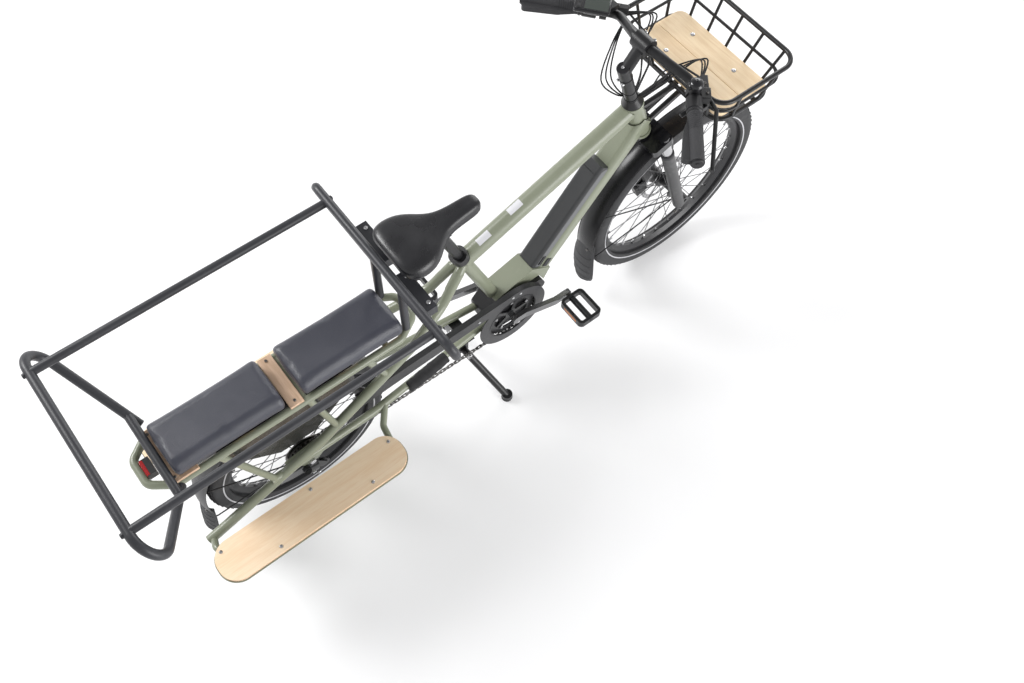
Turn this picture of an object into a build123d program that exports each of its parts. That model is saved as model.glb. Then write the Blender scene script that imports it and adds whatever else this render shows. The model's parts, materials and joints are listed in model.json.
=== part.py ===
from build123d import *
import math
import os

os.makedirs("parts", exist_ok=True)

# All lengths are millimetres. X points forward, Y to the rider's left, Z up. The floor is at Z = 0.

# Clearances
fit_gap = 0.3
running_gap = 1.0
cut_overrun = 4.0

# Stance
wheelbase = 1310.0
front_axle_x = 710.0
front_tyre_radius = 314.5
rear_tyre_radius = 261.5
rear_axle_x = front_axle_x - wheelbase
front_axle = Vector(front_axle_x, 0, front_tyre_radius)
rear_axle = Vector(rear_axle_x, 0, rear_tyre_radius)
front_guard_gap = 31.5
rear_guard_gap = 26.5
rail_gap = 18.5

# Tyres, rims and hubs
tyre_width = 60.0
tyre_section_shares = [(0.55, 0.0), (1.0, 0.34), (0.88, 0.76), (0.5, 0.96)]
front_rim_radius = 262.0
rear_rim_radius = 209.0
rim_width = 30.0
rim_height = 20.0
rim_inner_width = 10.0
rim_wall_height = 9.0
spoke_radius = 1.2
spoke_count = 28
spoke_sink = 3.0
hub_flange_radius = 27.0
hub_flange_width = 4.0
hub_barrel_radius = 15.0
axle_radius = 6.0
axle_nut_radius = 10.0
front_hub_width = 78.0
rear_hub_width = 132.0
front_flange_offset = 24.0
rear_flange_offset = 30.0
disc_radius = 80.0
disc_thickness = 2.0
disc_ring_width = 15.0
disc_arm_width = 8.0
disc_arm_count = 6
disc_offset = 32.0
rear_disc_offset = 46.0

# Steering geometry
head_angle = 69.0
fork_rake = 43.0
head_low = 432.0
head_length = 152.0
head_high = head_low + head_length
head_radius = 25.0
head_bore_radius = 17.0
steerer_radius = 14.3

# Crank
crank_axle_x = 72.0
crank_axle_z = 284.0
crank_length = 168.0
crank_axle = Vector(crank_axle_x, 0, crank_axle_z)


def steer_point(along, forward, side):
    """Point measured along the steering axis from the front axle, ahead of the axis and to the left."""
    lean = math.radians(head_angle)
    up = Vector(-math.cos(lean), 0, math.sin(lean))
    ahead = Vector(math.sin(lean), 0, math.cos(lean))
    return front_axle - ahead * fork_rake + up * along + ahead * forward + Vector(0, side, 0)


steer_up = (steer_point(1, 0, 0) - steer_point(0, 0, 0)).normalized()
steer_ahead = (steer_point(0, 1, 0) - steer_point(0, 0, 0)).normalized()


def rod(points, radius, bend=None):
    """Round bar along straight runs, with rounded corners where a bend radius is given."""
    with BuildPart() as bar:
        with BuildLine() as path:
            if bend is None:
                Polyline(*points)
            else:
                FilletPolyline(*points, radius=bend)
        with BuildSketch(Plane(origin=path.line @ 0, z_dir=path.line % 0)):
            Circle(radius)
        sweep()
    return bar.part


def cross_bar(centre, radius, length):
    """Round bar across the bike, centred on a point."""
    half = Vector(0, length / 2, 0)
    return rod([centre - half, centre + half], radius)


def side_plate(outline, thickness, side, corner=0.0):
    """Flat plate parallel to the bike's middle plane, centred at the given side distance."""
    with BuildPart() as plate:
        with BuildSketch(Plane.XZ.offset(-side - thickness / 2)) as face:
            Polygon(*outline, align=None)
            if corner > 0:
                fillet(face.vertices(), corner)
        extrude(amount=thickness)
    return plate.part


def joined(*pieces):
    """One piece made of several that touch."""
    with BuildPart() as whole:
        add(list(pieces))
    return whole.part


def trimmed(body, *cutters):
    """A piece with others cut away from it."""
    with BuildPart() as rest:
        add(body)
        for cutter in cutters:
            add(cutter, mode=Mode.SUBTRACT)
    return rest.part


def mirrored(body):
    """The same piece on the other side of the bike."""
    with BuildPart() as other:
        mirror(body, about=Plane.XZ, mode=Mode.ADD)
    return other.part


def save(body, name):
    """Name a finished piece and write it."""
    body.label = name
    export_step(body, "parts/" + name + ".step")


def wheel_plane(axle):
    """Plane through the axle line: first direction across the bike, second outward."""
    return Plane(origin=axle, x_dir=(0, 1, 0), z_dir=(1, 0, 0))


def turned(axle, outline):
    """Ring or disc turned about a wheel's axle from points given as side distance and radius."""
    with BuildPart() as ring:
        with BuildSketch(wheel_plane(axle)):
            Polygon(*outline, align=None)
        revolve(axis=Axis(axle, (0, 1, 0)))
    return ring.part


def make_tyre(axle, outer_radius, rim_radius):
    """Tyre turned from a rounded section with a slightly crowned tread."""
    wall = tyre_width / 2
    height = outer_radius - rim_radius
    left = []
    right = []
    for side_share, height_share in tyre_section_shares:
        left.append((-wall * side_share, rim_radius + height * height_share))
        right.append((wall * side_share, rim_radius + height * height_share))
    return turned(axle, left + [(0, outer_radius)] + right[::-1])


def make_rim(axle, rim_radius):
    """Deep rim with a flat bed and a narrow inner edge."""
    top = rim_radius - fit_gap
    bed = rim_width / 2
    foot = rim_inner_width / 2
    outline = [
        (-bed, top),
        (bed, top),
        (bed, top - rim_wall_height),
        (foot, top - rim_height),
        (-foot, top - rim_height),
        (-bed, top - rim_wall_height),
    ]
    return turned(axle, outline)


def make_hub(axle, hub_width, flange_offset, axle_length):
    """Hub barrel, two flanges and the axle with its end nuts."""
    half = hub_width / 2
    tip = axle_length / 2
    flange_in = flange_offset - hub_flange_width / 2
    flange_out = flange_offset + hub_flange_width / 2
    right = [
        (0, hub_barrel_radius),
        (flange_in, hub_barrel_radius),
        (flange_in, hub_flange_radius),
        (flange_out, hub_flange_radius),
        (flange_out, hub_barrel_radius),
        (half, hub_barrel_radius),
        (half, axle_radius),
        (tip, axle_radius),
        (tip, 0),
    ]
    left = [(-side, radius) for side, radius in reversed(right)]
    return turned(axle, left[:-1] + right)


def make_spokes(axle, flange_offset, rim_inner_radius):
    """Crossed spokes from both hub flanges to the rim."""
    step = 360 / spoke_count
    bars = []
    for index in range(spoke_count):
        side = 1 if index % 2 == 0 else -1
        lead = 1 if index % 4 < 2 else -1
        rim_turn = math.radians(index * step)
        hub_turn = rim_turn + lead * math.radians(3 * step)
        hub_reach = hub_flange_radius - hub_flange_width / 2
        rim_reach = rim_inner_radius + spoke_sink
        start = axle + Vector(
            hub_reach * math.cos(hub_turn),
            side * flange_offset,
            hub_reach * math.sin(hub_turn),
        )
        end = axle + Vector(
            rim_reach * math.cos(rim_turn),
            side * rim_inner_width / 4,
            rim_reach * math.sin(rim_turn),
        )
        bars.append(rod([start, end], spoke_radius))
    return bars


def make_wheel(axle, rim_radius, hub_width, flange_offset, axle_length):
    """Rim, spokes, hub and axle as one piece."""
    rim = make_rim(axle, rim_radius)
    hub = make_hub(axle, hub_width, flange_offset, axle_length)
    spokes = make_spokes(axle, flange_offset, rim_radius - rim_height)
    return joined(rim, hub, *spokes)


def make_disc(axle, side):
    """Brake disc: outer ring, arms and a middle that sits on the hub barrel."""
    inner = disc_radius - disc_ring_width
    with BuildPart() as disc:
        with BuildSketch(Plane(origin=axle + Vector(0, side, 0), x_dir=(1, 0, 0), z_dir=(0, 1, 0))):
            Circle(disc_radius)
            Circle(inner, mode=Mode.SUBTRACT)
            with PolarLocations(0, disc_arm_count):
                with Locations((inner / 2, 0)):
                    Rectangle(inner + disc_ring_width / 2, disc_arm_width)
            Circle(hub_flange_radius)
            Circle(hub_barrel_radius + fit_gap, mode=Mode.SUBTRACT)
        extrude(amount=disc_thickness / 2, both=True)
    return disc.part


# Front wheel
front_axle_length = 132.0
front_tyre = make_tyre(front_axle, front_tyre_radius, front_rim_radius)
save(front_tyre, "front_tyre")
front_wheel = make_wheel(
    front_axle, front_rim_radius, front_hub_width, front_flange_offset, front_axle_length
)
save(front_wheel, "front_wheel")
front_disc = make_disc(front_axle, disc_offset)
save(front_disc, "front_disc")

# Rear wheel
rear_axle_length = 172.0
cassette_steps = 5
cassette_top_radius = 55.0
cassette_step_radius = 7.5
cassette_pitch = 5.0
cassette_thickness = 3.0
cassette_offset = 38.0
rear_tyre = make_tyre(rear_axle, rear_tyre_radius, rear_rim_radius)
save(rear_tyre, "rear_tyre")
rear_wheel = make_wheel(rear_axle, rear_rim_radius, rear_hub_width, rear_flange_offset, rear_axle_length)
save(rear_wheel, "rear_wheel")
rear_disc = make_disc(rear_axle, rear_disc_offset)
save(rear_disc, "rear_disc")

with BuildPart() as sprockets:
    for index in range(cassette_steps):
        side = -cassette_offset - index * cassette_pitch
        radius = cassette_top_radius - index * cassette_step_radius
        with BuildSketch(Plane(origin=rear_axle + Vector(0, side, 0), x_dir=(1, 0, 0), z_dir=(0, -1, 0))):
            Circle(radius)
            Circle(hub_barrel_radius + fit_gap, mode=Mode.SUBTRACT)
        extrude(amount=cassette_thickness)
    cassette_depth = cassette_pitch * cassette_steps
    cog_face = rear_axle + Vector(0, -cassette_offset, 0)
    with BuildSketch(Plane(origin=cog_face, x_dir=(1, 0, 0), z_dir=(0, -1, 0))):
        Circle(hub_barrel_radius + cassette_thickness)
        Circle(hub_barrel_radius + fit_gap, mode=Mode.SUBTRACT)
    extrude(amount=cassette_depth)
save(sprockets.part, "sprockets")

# Head tube and main frame tubes
cup_radius = 28.0
cup_height = 10.0
head_axis = Axis(steer_point(0, 0, 0), steer_up)
with BuildPart() as head_tube:
    with BuildSketch(Plane(origin=steer_point(0, 0, 0), x_dir=steer_ahead, z_dir=(0, -1, 0))):
        Polygon(
            (head_bore_radius, head_low),
            (cup_radius, head_low),
            (cup_radius, head_low + cup_height),
            (head_radius, head_low + cup_height),
            (head_radius, head_high - cup_height),
            (cup_radius, head_high - cup_height),
            (cup_radius, head_high),
            (head_bore_radius, head_high),
            align=None,
        )
    revolve(axis=head_axis)
save(head_tube.part, "head_tube")

rail_height = rear_axle.Z + rear_tyre_radius + rear_guard_gap + rail_gap
seat_tube_radius = 17.5
seat_back = 132.0
seat_above_rail = 58.0
seat_rise = rail_height + seat_above_rail - crank_axle_z
seat_low_share = 0.22
seat_top = crank_axle + Vector(-seat_back, 0, seat_rise)
seat_low = crank_axle + (seat_top - crank_axle) * seat_low_share
seat_up = (seat_top - seat_low).normalized()
post_radius = 14.0
clamp_radius = 24.0

top_tube_radius = 23.0
top_tube_head_along = 560.0
top_tube_seat_share = 0.96
top_tube_low = crank_axle + (seat_top - crank_axle) * top_tube_seat_share
top_tube_high = steer_point(top_tube_head_along, 0, 0)

# Down tube and battery share one slope
down_angle = 53.3
battery_low_x = 157.0
battery_low_z = 407.0
down_low = Vector(battery_low_x, 0, battery_low_z)
down_lean = math.radians(down_angle)
down_up = Vector(math.cos(down_lean), 0, math.sin(down_lean))
down_front = Vector(math.sin(down_lean), 0, -math.cos(down_lean))
battery_length = 348.0
battery_height = 34.0
battery_width = 58.0
battery_corner = 9.0
down_depth = 80.0
down_width = 62.0
down_corner = 14.0
down_overlap = 20.0
down_past_head = 15.0


def down_point(along, depth):
    """Point along the down tube from the battery's low end and below the battery's top face."""
    return down_low + down_up * along + down_front * depth


head_cutter = rod([steer_point(head_low - cut_overrun, 0, 0), steer_point(head_high + cut_overrun, 0, 0)],
                  cup_radius + fit_gap)
seat_cutter = rod(
    [seat_low - seat_up * cut_overrun, seat_top + seat_up * cut_overrun],
    seat_tube_radius + fit_gap,
)

post_cutter = rod([seat_top, seat_top + seat_up * top_tube_radius * 3], clamp_radius + fit_gap)
top_tube_body = rod([top_tube_low, top_tube_high], top_tube_radius)
with BuildPart() as down_tube_body:
    tube_middle = (battery_height + down_depth) / 2
    tube_start = down_point(-down_overlap, tube_middle)
    head_along = (steer_point(0, 0, 0) - tube_start).dot(steer_ahead) / down_up.dot(steer_ahead)
    with BuildSketch(Plane(origin=tube_start, x_dir=(0, 1, 0), z_dir=down_up)):
        RectangleRounded(down_width, down_depth - battery_height, down_corner)
    extrude(amount=head_along + down_past_head)
down_tube = trimmed(down_tube_body.part, head_cutter)
save(down_tube, "down_tube")
with BuildPart() as battery:
    with BuildSketch(Plane(origin=down_point(0, battery_height / 2), x_dir=(0, 1, 0), z_dir=down_up)):
        RectangleRounded(battery_width, battery_height - fit_gap * 2, battery_corner)
    extrude(amount=battery_length)
save(battery.part, "battery")

top_tube = trimmed(top_tube_body, head_cutter, seat_cutter, post_cutter, down_tube_body.part)
save(top_tube, "top_tube")

# Motor: one plain block under a green bay that ties seat tube and down tube together
motor_width = 90.0
motor_corner = 18.0
spindle_radius = 9.0
bay_width = 66.0
bay_corner = 6.0
motor_length = 194.0
motor_corner_shares = [
    (-0.32, -0.27),
    (0.21, -0.32),
    (0.66, 0.155),
    (0.557, 0.36),
    (-0.155, 0.29),
    (-0.34, 0.05),
]
motor_outline = []
for x_share, z_share in motor_corner_shares:
    motor_outline.append((crank_axle_x + motor_length * x_share, crank_axle_z + motor_length * z_share))
spindle_cutter = cross_bar(crank_axle, spindle_radius + running_gap, motor_width * 2)
motor = trimmed(side_plate(motor_outline, motor_width, 0, motor_corner), spindle_cutter)
save(motor, "motor")

seat_tube = trimmed(rod([seat_low, seat_top], seat_tube_radius), motor)
bay_corner_shares = [
    (-0.175, 0.294),
    (0.567, 0.366),
    (0.67, 0.165),
    (0.773, 0.392),
    (0.433, 0.629),
    (-0.206, 0.433),
]
bay_outline = []
for x_share, z_share in bay_corner_shares:
    bay_outline.append((crank_axle_x + motor_length * x_share, crank_axle_z + motor_length * z_share))
motor_bay = trimmed(
    side_plate(bay_outline, bay_width, 0), motor, seat_cutter, down_tube_body.part, battery.part
)
save(motor_bay, "motor_bay")
save(seat_tube, "seat_tube")

# Seatpost, clamp and saddle
post_show = 174.0
saddle_thickness = 44.0
saddle_height = seat_top.Z + post_show + saddle_thickness
clamp_height = 26.0
post_top = crank_axle + seat_up * ((saddle_height - saddle_thickness - crank_axle_z) / seat_up.Z)
clamp_low = seat_top + seat_up * fit_gap
head_clamp_length = 56.0
head_clamp_width = 40.0
head_clamp_height = 18.0
with BuildPart() as seatpost:
    add(rod([clamp_low, post_top], post_radius))
    add(rod([clamp_low, clamp_low + seat_up * clamp_height], clamp_radius))
    with Locations(post_top - Vector(0, 0, head_clamp_height / 2)):
        Box(head_clamp_length, head_clamp_width, head_clamp_height)
save(seatpost.part, "seatpost")

saddle_length = 252.0
saddle_width = 176.0
saddle_ahead = 118.0
saddle_top_round = 15.0
saddle_low_round = 5.0
saddle_rear_x = post_top.X - saddle_length + saddle_ahead
# Columns: share of the length from the rear, share of the half width, corner radius as a share of the width
saddle_plan_shares = [
    (0.0, 0.66, 0.12),
    (0.15, 1.0, 0.22),
    (0.37, 0.93, 0.14),
    (0.60, 0.42, 0.22),
    (1.0, 0.31, 0.1),
]
with BuildPart() as saddle:
    with BuildSketch(Plane.XY.offset(saddle_height - saddle_thickness)) as saddle_plan:
        left_side = []
        right_side = []
        for x_share, side_share, corner_share in saddle_plan_shares:
            left_side.append((saddle_rear_x + saddle_length * x_share, saddle_width / 2 * side_share))
            right_side.append((saddle_rear_x + saddle_length * x_share, -saddle_width / 2 * side_share))
        Polygon(*left_side, *right_side[::-1], align=None)
        for x_share, side_share, corner_share in saddle_plan_shares:
            corner_x = saddle_rear_x + saddle_length * x_share
            corners = [point for point in saddle_plan.vertices() if abs(point.X - corner_x) < fit_gap]
            fillet(corners, saddle_width * corner_share)
    extrude(amount=saddle_thickness)
    fillet(saddle.faces().sort_by(Axis.Z)[-1].edges(), saddle_top_round)
    fillet(saddle.faces().sort_by(Axis.Z)[0].edges(), saddle_low_round)
saddle_body = trimmed(saddle.part, seatpost.part)
save(saddle_body, "saddle")

# Rear frame: truss tube, lower stay and dropout on each side
truss_radius = 13.0
stay_radius = 11.0
truss_bend = 60.0
stay_bend = 80.0
axle_hole_radius = axle_radius + fit_gap
dropout_thickness = 8.0
dropout_side = -rear_hub_width / 2 - running_gap - dropout_thickness / 2
stay_drop = 8.0
stay_height = crank_axle_z - stay_drop
# Columns: distance behind the seat tube's top, side distance, drop below the seat tube's top
truss_table = [
    (16.0, 14.5, 36.0),
    (80.0, 30.0, 106.0),
    (190.0, 60.0, 148.0),
    (500.0, 82.0, 282.0),
    (856.0, 95.0, 388.0),
]
# Columns: distance behind the crank axle, side distance, rise above the stay's front end
stay_table = [(62.0, 30.0, 0.0), (470.0, 67.0, 0.0), (788.0, 86.0, 38.0)]
truss_points = [seat_top - Vector(back, side, drop) for back, side, drop in truss_table]
stay_points = [Vector(crank_axle_x - back, -side, stay_height + rise) for back, side, rise in stay_table]
truss = rod(truss_points, truss_radius, truss_bend)
stay = rod(stay_points, stay_radius, stay_bend)
dropout_length = 140.0
dropout_corner_shares = [(-0.14, -0.13), (0.14, -0.13), (0.43, 0.2), (0.5, 0.63), (-0.5, 0.43), (-0.36, 0.25)]
dropout_outline = []
for x_share, z_share in dropout_corner_shares:
    dropout_outline.append((rear_axle.X + dropout_length * x_share, rear_axle.Z + dropout_length * z_share))
dropout_cutter = cross_bar(rear_axle, axle_hole_radius, rear_axle_length * 2)
dropout = side_plate(dropout_outline, dropout_thickness, dropout_side, bay_corner)
rear_frame_right = trimmed(joined(truss, stay, dropout), dropout_cutter, seat_cutter, motor)
save(rear_frame_right, "rear_frame_right")
rear_frame_left = mirrored(rear_frame_right)
save(rear_frame_left, "rear_frame_left")

# Rack
rail_radius = 10.0
rail_side = 70.0
rail_ahead_gap = 172.0
rail_behind_axle = 300.0
loop_behind = 48.0
loop_bend = 30.0
corner_share = 0.8
strut_radius = 9.0
rail_front_x = seat_top.X - rail_ahead_gap
rail_rear_x = rear_axle.X - rail_behind_axle
rear_loop_x = rail_rear_x - loop_behind
rail_outline = [
    Vector(rail_front_x - loop_bend * 2, rail_side, rail_height),
    Vector(rail_front_x, rail_side / 2, rail_height),
    Vector(rail_front_x, -rail_side / 2, rail_height),
    Vector(rail_front_x - loop_bend * 2, -rail_side, rail_height),
    Vector(rail_rear_x, -rail_side, rail_height),
    Vector(rear_loop_x, -rail_side / 2, rail_height),
    Vector(rear_loop_x, rail_side / 2, rail_height),
    Vector(rail_rear_x, rail_side, rail_height),
]
with BuildPart() as rail_ring:
    with BuildLine() as ring_path:
        FilletPolyline(*rail_outline, radius=loop_bend * corner_share, close=True)
    with BuildSketch(Plane(origin=ring_path.line @ 0, z_dir=ring_path.line % 0)):
        Circle(rail_radius)
    sweep()

# Columns: share along the rail, run of the truss, share along that run
strut_shares = [(0.237, 2, 0.306), (0.484, 2, 0.839), (0.835, 3, 0.393)]
strut_bars = []
for rail_share, run, run_share in strut_shares:
    head = Vector(rail_front_x + (rail_rear_x - rail_front_x) * rail_share, -rail_side, rail_height)
    foot = truss_points[run] + (truss_points[run + 1] - truss_points[run]) * run_share
    strut_bars.append(rod([head, foot], strut_radius))
struts_right = joined(*strut_bars)
cross_radius = 8.0
cross_bar_shares = (0.147, 0.491, 0.94)
cross_places = [rail_front_x + (rail_rear_x - rail_front_x) * share for share in cross_bar_shares]
cross_bars = [cross_bar(Vector(x, 0, rail_height), cross_radius, rail_side * 2) for x in cross_places]
rack = trimmed(joined(rail_ring.part, struts_right, mirrored(struts_right), *cross_bars),
               rear_frame_right, rear_frame_left)
save(rack, "rack")

# Deck slats and seat pads
slat_thickness = 9.0
slat_width = 58.0
deck_width = 150.0
deck_z = rail_height + rail_radius + fit_gap + slat_thickness / 2
pad_width = 146.0
pad_height = 46.0
pad_corner = 18.0
pad_z = deck_z + slat_thickness / 2 + fit_gap
pad_inset = 45.0
pad_gap = 40.0
pad_end_gap = 11.0
pad_length = (rail_front_x - rail_rear_x - pad_inset - pad_gap - pad_end_gap) / 2
front_pad_x = rail_front_x - pad_inset - pad_length / 2
rear_pad_x = front_pad_x - pad_length - pad_gap
# Columns: pad, share of its length ahead of its middle
slat_shares = [
    (front_pad_x, 0.36),
    (front_pad_x, -0.07),
    (front_pad_x, -0.57),
    (rear_pad_x, 0.09),
    (rear_pad_x, -0.42),
]
with BuildPart() as deck:
    for pad_x, share in slat_shares:
        with Locations((pad_x + pad_length * share, 0, deck_z)):
            Box(slat_width, deck_width, slat_thickness)
save(deck.part, "deck")


def seat_pad(centre_x):
    """Seat pad with rounded upper edges."""
    with BuildPart() as pad:
        pad_end = Vector(centre_x - pad_length / 2, 0, pad_z)
        with BuildSketch(Plane(origin=pad_end, x_dir=(0, 1, 0), z_dir=(1, 0, 0))):
            with Locations((0, pad_height / 2)):
                outline = Rectangle(pad_width, pad_height)
            fillet(outline.vertices().group_by(Axis.Y)[-1], pad_corner)
        extrude(amount=pad_length)
    return pad.part


save(seat_pad(front_pad_x), "seat_pad_front")
save(seat_pad(rear_pad_x), "seat_pad_rear")

# Passenger rails
hoop_radius = 11.0
hoop_behind = 50.0
hoop_low_behind = 34.0
hoop_half = 270.0
hoop_rise = 244.0
hoop_height = 60.0
hoop_bend = 26.0
hoop_post_side = 55.0
hoop_post_radius = 10.4
side_rail_radius = 10.0
side_rail_side = 212.0
side_rail_drop = 6.0
rear_hoop_behind = 61.0
rear_hoop_half = 343.0
rear_foot_ahead = 9.5
rear_hoop_foot_side = 92.0
rear_hoop_bend = 50.0
rear_hoop_bar_share = 0.1
rail_bolt_radius = 6.0
rail_bolt_height = 4.5
clamp_block_width = 120.0
clamp_block_depth = 44.0
clamp_block_height = 28.0
clamp_block_side = 82.0
clamp_block_ahead = 16.0
hoop_x = rail_front_x - hoop_behind
hoop_low_x = rail_front_x - hoop_low_behind
hoop_top_z = rail_height + hoop_rise
hoop_low_z = hoop_top_z - hoop_height
side_rail_z = hoop_top_z - side_rail_drop
rear_hoop_x = rear_loop_x - rear_hoop_behind
rear_hoop_foot_x = rail_rear_x + rear_foot_ahead
rear_hoop_foot_z = rail_height + rail_radius + fit_gap + hoop_radius
rail_bolt_end_x = rear_hoop_x - hoop_radius - rail_bolt_height
with BuildPart() as front_hoop:
    with BuildLine() as hoop_path:
        FilletPolyline(
            Vector(hoop_x, hoop_half, hoop_top_z),
            Vector(hoop_x, -hoop_half, hoop_top_z),
            Vector(hoop_low_x, -hoop_half, hoop_low_z),
            Vector(hoop_low_x, hoop_half, hoop_low_z),
            radius=hoop_bend,
            close=True,
        )
    with BuildSketch(Plane(origin=hoop_path.line @ 0, z_dir=hoop_path.line % 0)):
        Circle(hoop_radius)
    sweep()
post_foot_z = rail_height + rail_radius + fit_gap
hoop_posts = [
    rod([Vector(hoop_low_x, side, hoop_low_z), Vector(hoop_low_x, side, post_foot_z)], hoop_post_radius)
    for side in (-hoop_post_side, hoop_post_side)
]
with BuildPart() as clamp_block:
    for side in (-clamp_block_side, clamp_block_side):
        with Locations((hoop_low_x + clamp_block_ahead, side, hoop_low_z)):
            Box(clamp_block_depth, clamp_block_width, clamp_block_height)
hoop_whole = joined(front_hoop.part, clamp_block.part, *hoop_posts)
save(hoop_whole, "front_hoop")

rear_hoop_top = Vector(rear_hoop_x, rear_hoop_half, side_rail_z)
rear_hoop_foot = Vector(rear_hoop_foot_x, rear_hoop_foot_side, rear_hoop_foot_z)
rear_hoop_tube = rod(
    [
        rear_hoop_foot,
        rear_hoop_top,
        Vector(rear_hoop_top.X, -rear_hoop_top.Y, rear_hoop_top.Z),
        Vector(rear_hoop_foot.X, -rear_hoop_foot.Y, rear_hoop_foot.Z),
    ],
    hoop_radius,
    rear_hoop_bend,
)
rear_bar_end = rear_hoop_foot + (rear_hoop_top - rear_hoop_foot) * rear_hoop_bar_share
rear_hoop_bar = cross_bar(Vector(rear_bar_end.X, 0, rear_bar_end.Z), hoop_post_radius, rear_bar_end.Y * 2)
rail_bolts = []
for side in (-side_rail_side, side_rail_side):
    rail_bolts.append(rod(
        [Vector(rear_hoop_x, side, side_rail_z), Vector(rail_bolt_end_x, side, side_rail_z)],
        rail_bolt_radius,
    ))
rear_hoop_whole = joined(rear_hoop_tube, rear_hoop_bar, *rail_bolts)
save(rear_hoop_whole, "rear_hoop")

side_rail_right = trimmed(
    rod(
        [
            Vector(rear_hoop_x, -side_rail_side, side_rail_z),
            Vector(hoop_x, -side_rail_side, side_rail_z),
        ],
        side_rail_radius,
    ),
    hoop_whole,
    rear_hoop_whole,
)
side_rails = joined(side_rail_right, mirrored(side_rail_right))
save(side_rails, "side_rails")

# Running boards and their trays
board_z = 280.0
board_thickness = 10.0
board_front_x = -395.0
board_rear_x = -935.0
board_in = 134.0
board_out = 246.0
board_corner = 50.0
tray_thickness = 3.5
tray_lip = 3.0
with BuildPart() as board_right:
    with BuildSketch(Plane.XY.offset(board_z - board_thickness)):
        with Locations(((board_front_x + board_rear_x) / 2, -(board_in + board_out) / 2)):
            RectangleRounded(board_front_x - board_rear_x, board_out - board_in, board_corner)
    extrude(amount=board_thickness)
boards = joined(board_right.part, mirrored(board_right.part))
save(boards, "running_boards")

tray_radius = 9.0
tray_top = board_z - board_thickness - fit_gap
tray_z = tray_top - tray_radius
bracket_turn_side = 110.0
bracket_turn_behind = 5.0
bracket_stay_ahead = 29.0
bracket_end_behind = 25.0
rear_turn_side = 130.0
rear_turn_ahead = 23.0
rear_end_ahead = 55.0
rear_root_ahead = 12.0
bracket_end_side = board_out - tray_radius * 2
bracket_front = [
    Vector(board_front_x + bracket_stay_ahead, -rail_side, stay_height),
    Vector(board_front_x - bracket_turn_behind, -bracket_turn_side, tray_z),
    Vector(board_front_x - bracket_end_behind, -bracket_end_side, tray_z),
]
bracket_rear = [
    truss_points[4] + Vector(rear_root_ahead, 0, 0),
    Vector(board_rear_x + rear_turn_ahead, -rear_turn_side, tray_z),
    Vector(board_rear_x + rear_end_ahead, -bracket_end_side, tray_z),
]
with BuildPart() as tray_plate:
    with BuildSketch(Plane.XY.offset(tray_top - tray_thickness)):
        with Locations(((board_front_x + board_rear_x) / 2, -(board_in + board_out) / 2)):
            RectangleRounded(board_front_x - board_rear_x + tray_lip * 2, board_out - board_in + tray_lip * 2,
                             board_corner + tray_lip)
    extrude(amount=tray_thickness)
tray_right = trimmed(
    joined(
        tray_plate.part,
        rod(bracket_front, tray_radius, tray_radius * 2),
        rod(bracket_rear, tray_radius, tray_radius * 2),
    ),
    rear_frame_right,
)
trays = joined(tray_right, mirrored(tray_right))
save(trays, "board_brackets")

# Crank, chainring and pedals
chain_offset = 50.0
chain_side = -chain_offset
ring_radius = 84.0
ring_thickness = 4.0
ring_bore_radius = 58.0
spider_arm_width = 12.0
tooth_count = 44
tooth_notch_width = 6.0
tooth_notch_depth = 5.0
spider_arm_count = 5
arm_width = 26.0
arm_tip_width = 22.0
arm_thickness = 14.0
arm_root_side = 75.0
arm_side = 95.0
arm_straight_share = 0.18
arm_flare_share = 0.74
spindle_length = 2 * (arm_root_side - arm_thickness / 2)
pedal_width = 96.0
pedal_length = 78.0
pedal_height = 22.0
pedal_bar = 9.0
pedal_corner = 14.0
pedal_gap = 6.0
pedal_axle_radius = 5.0
with BuildPart() as chainring:
    with BuildSketch(Plane(origin=crank_axle + Vector(0, chain_side + ring_thickness / 2, 0),
                           x_dir=(1, 0, 0), z_dir=(0, -1, 0))):
        Circle(ring_radius)
        with PolarLocations(ring_radius, tooth_count):
            Rectangle(tooth_notch_depth * 2, tooth_notch_width, mode=Mode.SUBTRACT)
        Circle(ring_bore_radius, mode=Mode.SUBTRACT)
        with PolarLocations(0, spider_arm_count):
            with Locations((ring_bore_radius / 2, 0)):
                Rectangle(ring_bore_radius + spider_arm_width, spider_arm_width)
        Circle(spindle_radius * 2)
        Circle(spindle_radius + fit_gap, mode=Mode.SUBTRACT)
    extrude(amount=ring_thickness)
save(chainring.part, "chainring")


def crank_arm(direction, side):
    """Crank arm that flares outward to its pedal end, pointing forward for 1 and back for -1."""
    root_in = side * (arm_root_side - arm_thickness / 2)
    root_out = side * (arm_root_side + arm_thickness / 2)
    tip_in = side * (arm_side - arm_thickness / 2)
    tip_out = side * (arm_side + arm_thickness / 2)
    back = crank_axle.X - direction * arm_width
    straight = crank_axle.X + direction * crank_length * arm_straight_share
    flare = crank_axle.X + direction * crank_length * arm_flare_share
    front = crank_axle.X + direction * (crank_length + arm_width)
    tip = crank_axle + Vector(direction * crank_length, side * arm_side, 0)
    reach = Vector(0, arm_width, 0)
    with BuildPart() as arm:
        with BuildSketch(Plane.XY.offset(crank_axle.Z - arm_width)):
            Polygon(
                (back, root_in),
                (straight, root_in),
                (flare, tip_in),
                (front, tip_in),
                (front, tip_out),
                (flare, tip_out),
                (straight, root_out),
                (back, root_out),
                align=None,
            )
        extrude(amount=arm_width * 2)
        with BuildSketch(Plane(origin=crank_axle, x_dir=(1, 0, 0), z_dir=(0, side, 0))):
            Circle(arm_width / 2)
            with Locations((direction * crank_length, 0)):
                Circle(arm_tip_width / 2)
            Polygon(
                (0, arm_width / 2),
                (0, -arm_width / 2),
                (direction * crank_length, -arm_tip_width / 2),
                (direction * crank_length, arm_tip_width / 2),
                align=None,
            )
        extrude(amount=arm_side + arm_width, mode=Mode.INTERSECT)
        add(rod([tip - reach, tip + reach], pedal_axle_radius + fit_gap), mode=Mode.SUBTRACT)
    return arm.part


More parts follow.
